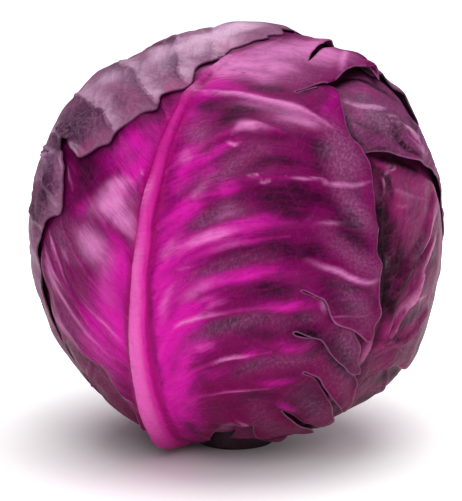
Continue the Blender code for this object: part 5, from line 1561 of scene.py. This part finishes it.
def make_heart():
    """The tightly packed inner leaves, as one body that takes the stalk from below."""
    deselect()
    bpy.ops.mesh.primitive_uv_sphere_add(segments=180, ring_count=120, radius=HEART_RADIUS)
    heart = bpy.context.object
    heart.name = heart.data.name = "packed_heart"
    mesh = heart.data
    socket = stem_profile(SOCKET_CLEARANCE)
    lowest = -HEART_RADIUS * math.cos(math.asin(socket[0][0] / HEART_RADIUS) + math.radians(2.5))
    bpy.ops.object.mode_set(mode="EDIT")
    bpy.ops.mesh.select_all(action="SELECT")
    bpy.ops.mesh.bisect(plane_co=(0.0, 0.0, lowest), plane_no=(0.0, 0.0, 1.0), clear_inner=True)
    bpy.ops.object.mode_set(mode="OBJECT")
    places = np.empty(len(mesh.vertices) * 3)
    mesh.vertices.foreach_get("co", places)
    directions = places.reshape(-1, 3)
    directions /= np.linalg.norm(directions, axis=1)[:, None]
    radius = heart_surface(directions)
    mesh.vertices.foreach_set("co", (HEAD_CENTRE + directions * radius[:, None]).ravel())
    bpy.ops.object.mode_set(mode="EDIT")
    bpy.ops.mesh.select_mode(type="VERT")
    bpy.ops.mesh.select_all(action="DESELECT")
    bpy.ops.mesh.select_non_manifold()
    bpy.ops.object.mode_set(mode="OBJECT")
    rim = np.array([vertex.co for vertex in mesh.vertices if vertex.select])
    wide, height = np.hypot(rim[:, 0], rim[:, 1]).mean(), rim[:, 2].mean()
    bpy.ops.object.mode_set(mode="EDIT")
    for wider, higher in socket:
        bpy.ops.mesh.extrude_region_move(TRANSFORM_OT_translate={"value": (0.0, 0.0, higher - height)})
        bpy.ops.transform.resize(value=(wider / wide, wider / wide, 1.0), center_override=(0.0, 0.0, higher))
        wide, height = wider, higher
    bpy.ops.mesh.extrude_region_move(TRANSFORM_OT_translate={"value": (0.0, 0.0, 0.0006)})
    bpy.ops.mesh.merge(type="CENTER")
    bpy.ops.object.mode_set(mode="OBJECT")
    bpy.ops.object.shade_smooth()
    return heart


SKINS = {
    "low_left_leaf": (DARK_SKIN, "dark_leaf"),
    "low_right_leaf": (DARK_SKIN, "dark_leaf"),
    "right_leaf": (DARK_SKIN, "dark_leaf"),
    "shoulder_leaf": (SHOULDER_SKIN, "mauve_leaf"),
    "back_leaf": (MAUVE_SKIN, "mauve_leaf"),
    "front_leaf": (MAGENTA_SKIN, "magenta_leaf"),
    "top_leaf": (MAUVE_SKIN, "mauve_leaf"),
}


def hand_in(piece, node, skin, slot):
    """Gives the piece its skin, hangs it under the root body, and hides the node of the solids that it takes
    the place of.
    """
    piece.data.materials.clear()
    piece.data.materials.append(skin)
    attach(piece, "root")
    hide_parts(node)


def make_studio():
    """A pale floor that reaches past the view, a broad soft key light, a fill and a bright room."""
    deselect()
    bpy.ops.mesh.primitive_circle_add(vertices=128, radius=7.0, fill_type="NGON")
    floor = bpy.context.object
    floor.name = "studio_floor"
    finish = Finish("studio floor")
    place = finish.place()
    cloudy = finish.noise(place, 3.0) * 0.2
    finish.coat("Base Color", finish.blend(cloudy, tint(252, 250, 251), tint(246, 243, 246)))
    finish.coat("Roughness", 0.7)
    # The floor glows as painted light, less and less towards the foot of the head, so that the soft shade
    # there is partly painted.
    away = finish.vectors("LENGTH", finish.vectors("ADD", place, (0.022, 0.0, 0.0)), output="Value")
    glow = finish.blend(finish.ramp(away, 0.0, 0.22), (0.0, 0.0, 0.0, 1.0), (1.0, 1.0, 1.0, 1.0))
    finish.coat("Emission Color", glow)
    finish.coat("Emission Strength", 0.8)
    floor.data.materials.append(finish.material)

    def lamp(name, place, aim, size, energy):
        data = bpy.data.lights.new(name, "AREA")
        data.shape, data.size, data.energy = "DISK", size, energy
        made = bpy.data.objects.new(name, data)
        bpy.context.scene.collection.objects.link(made)
        made.location = place
        made.rotation_euler = (Vector(aim) - Vector(place)).to_track_quat("-Z", "Y").to_euler()

    lamp("top", (0.03, 0.02, 1.3), (0.0, 0.0, 0.1), 1.6, 18.5)
    lamp("front", (-0.08, -1.2, 1.0), (0.0, 0.0, 0.09), 1.1, 9.6)

    world = bpy.data.worlds.new("room")
    bpy.context.scene.world = world
    world.use_nodes = True
    room = world.node_tree.nodes["Background"]
    room.inputs["Color"].default_value = (1.0, 0.99, 1.0, 1.0)
    room.inputs["Strength"].default_value = 0.12
    bpy.context.scene.view_settings.view_transform = "Standard"
    bpy.context.scene.view_settings.look = "None"


def make_camera():
    """The photograph's view, from one metre off."""
    lift = math.radians(VIEW_LIFT)
    forward = np.array([0.0, math.cos(lift), -math.sin(lift)])
    right = np.array([1.0, 0.0, 0.0])
    up = np.array([0.0, math.sin(lift), math.cos(lift)])
    data = bpy.data.cameras.new("camera")
    data.sensor_fit, data.sensor_height, data.lens = "VERTICAL", 36.0, FOCAL_PIXELS / PHOTO_HEIGHT * 36.0
    data.clip_start, data.clip_end = 0.05, 30.0
    camera = bpy.data.objects.new("camera", data)
    bpy.context.scene.collection.objects.link(camera)
    camera.location = HEAD_CENTRE - forward - VIEW_LEFT * right - VIEW_BELOW * up
    camera.rotation_euler = Vector(forward).to_track_quat("-Z", "Y").to_euler()
    bpy.context.scene.camera = camera


make_camera()
make_studio()
for order, leaf in enumerate(LEAVES):
    skin, slot = SKINS[leaf.name]
    hand_in(make_leaf(order), leaf.name, skin, slot)
hand_in(make_stem(), "stem", flesh_finish(), "stem_flesh")
hand_in(make_heart(), "heart", heart_finish(), "heart_leaf")
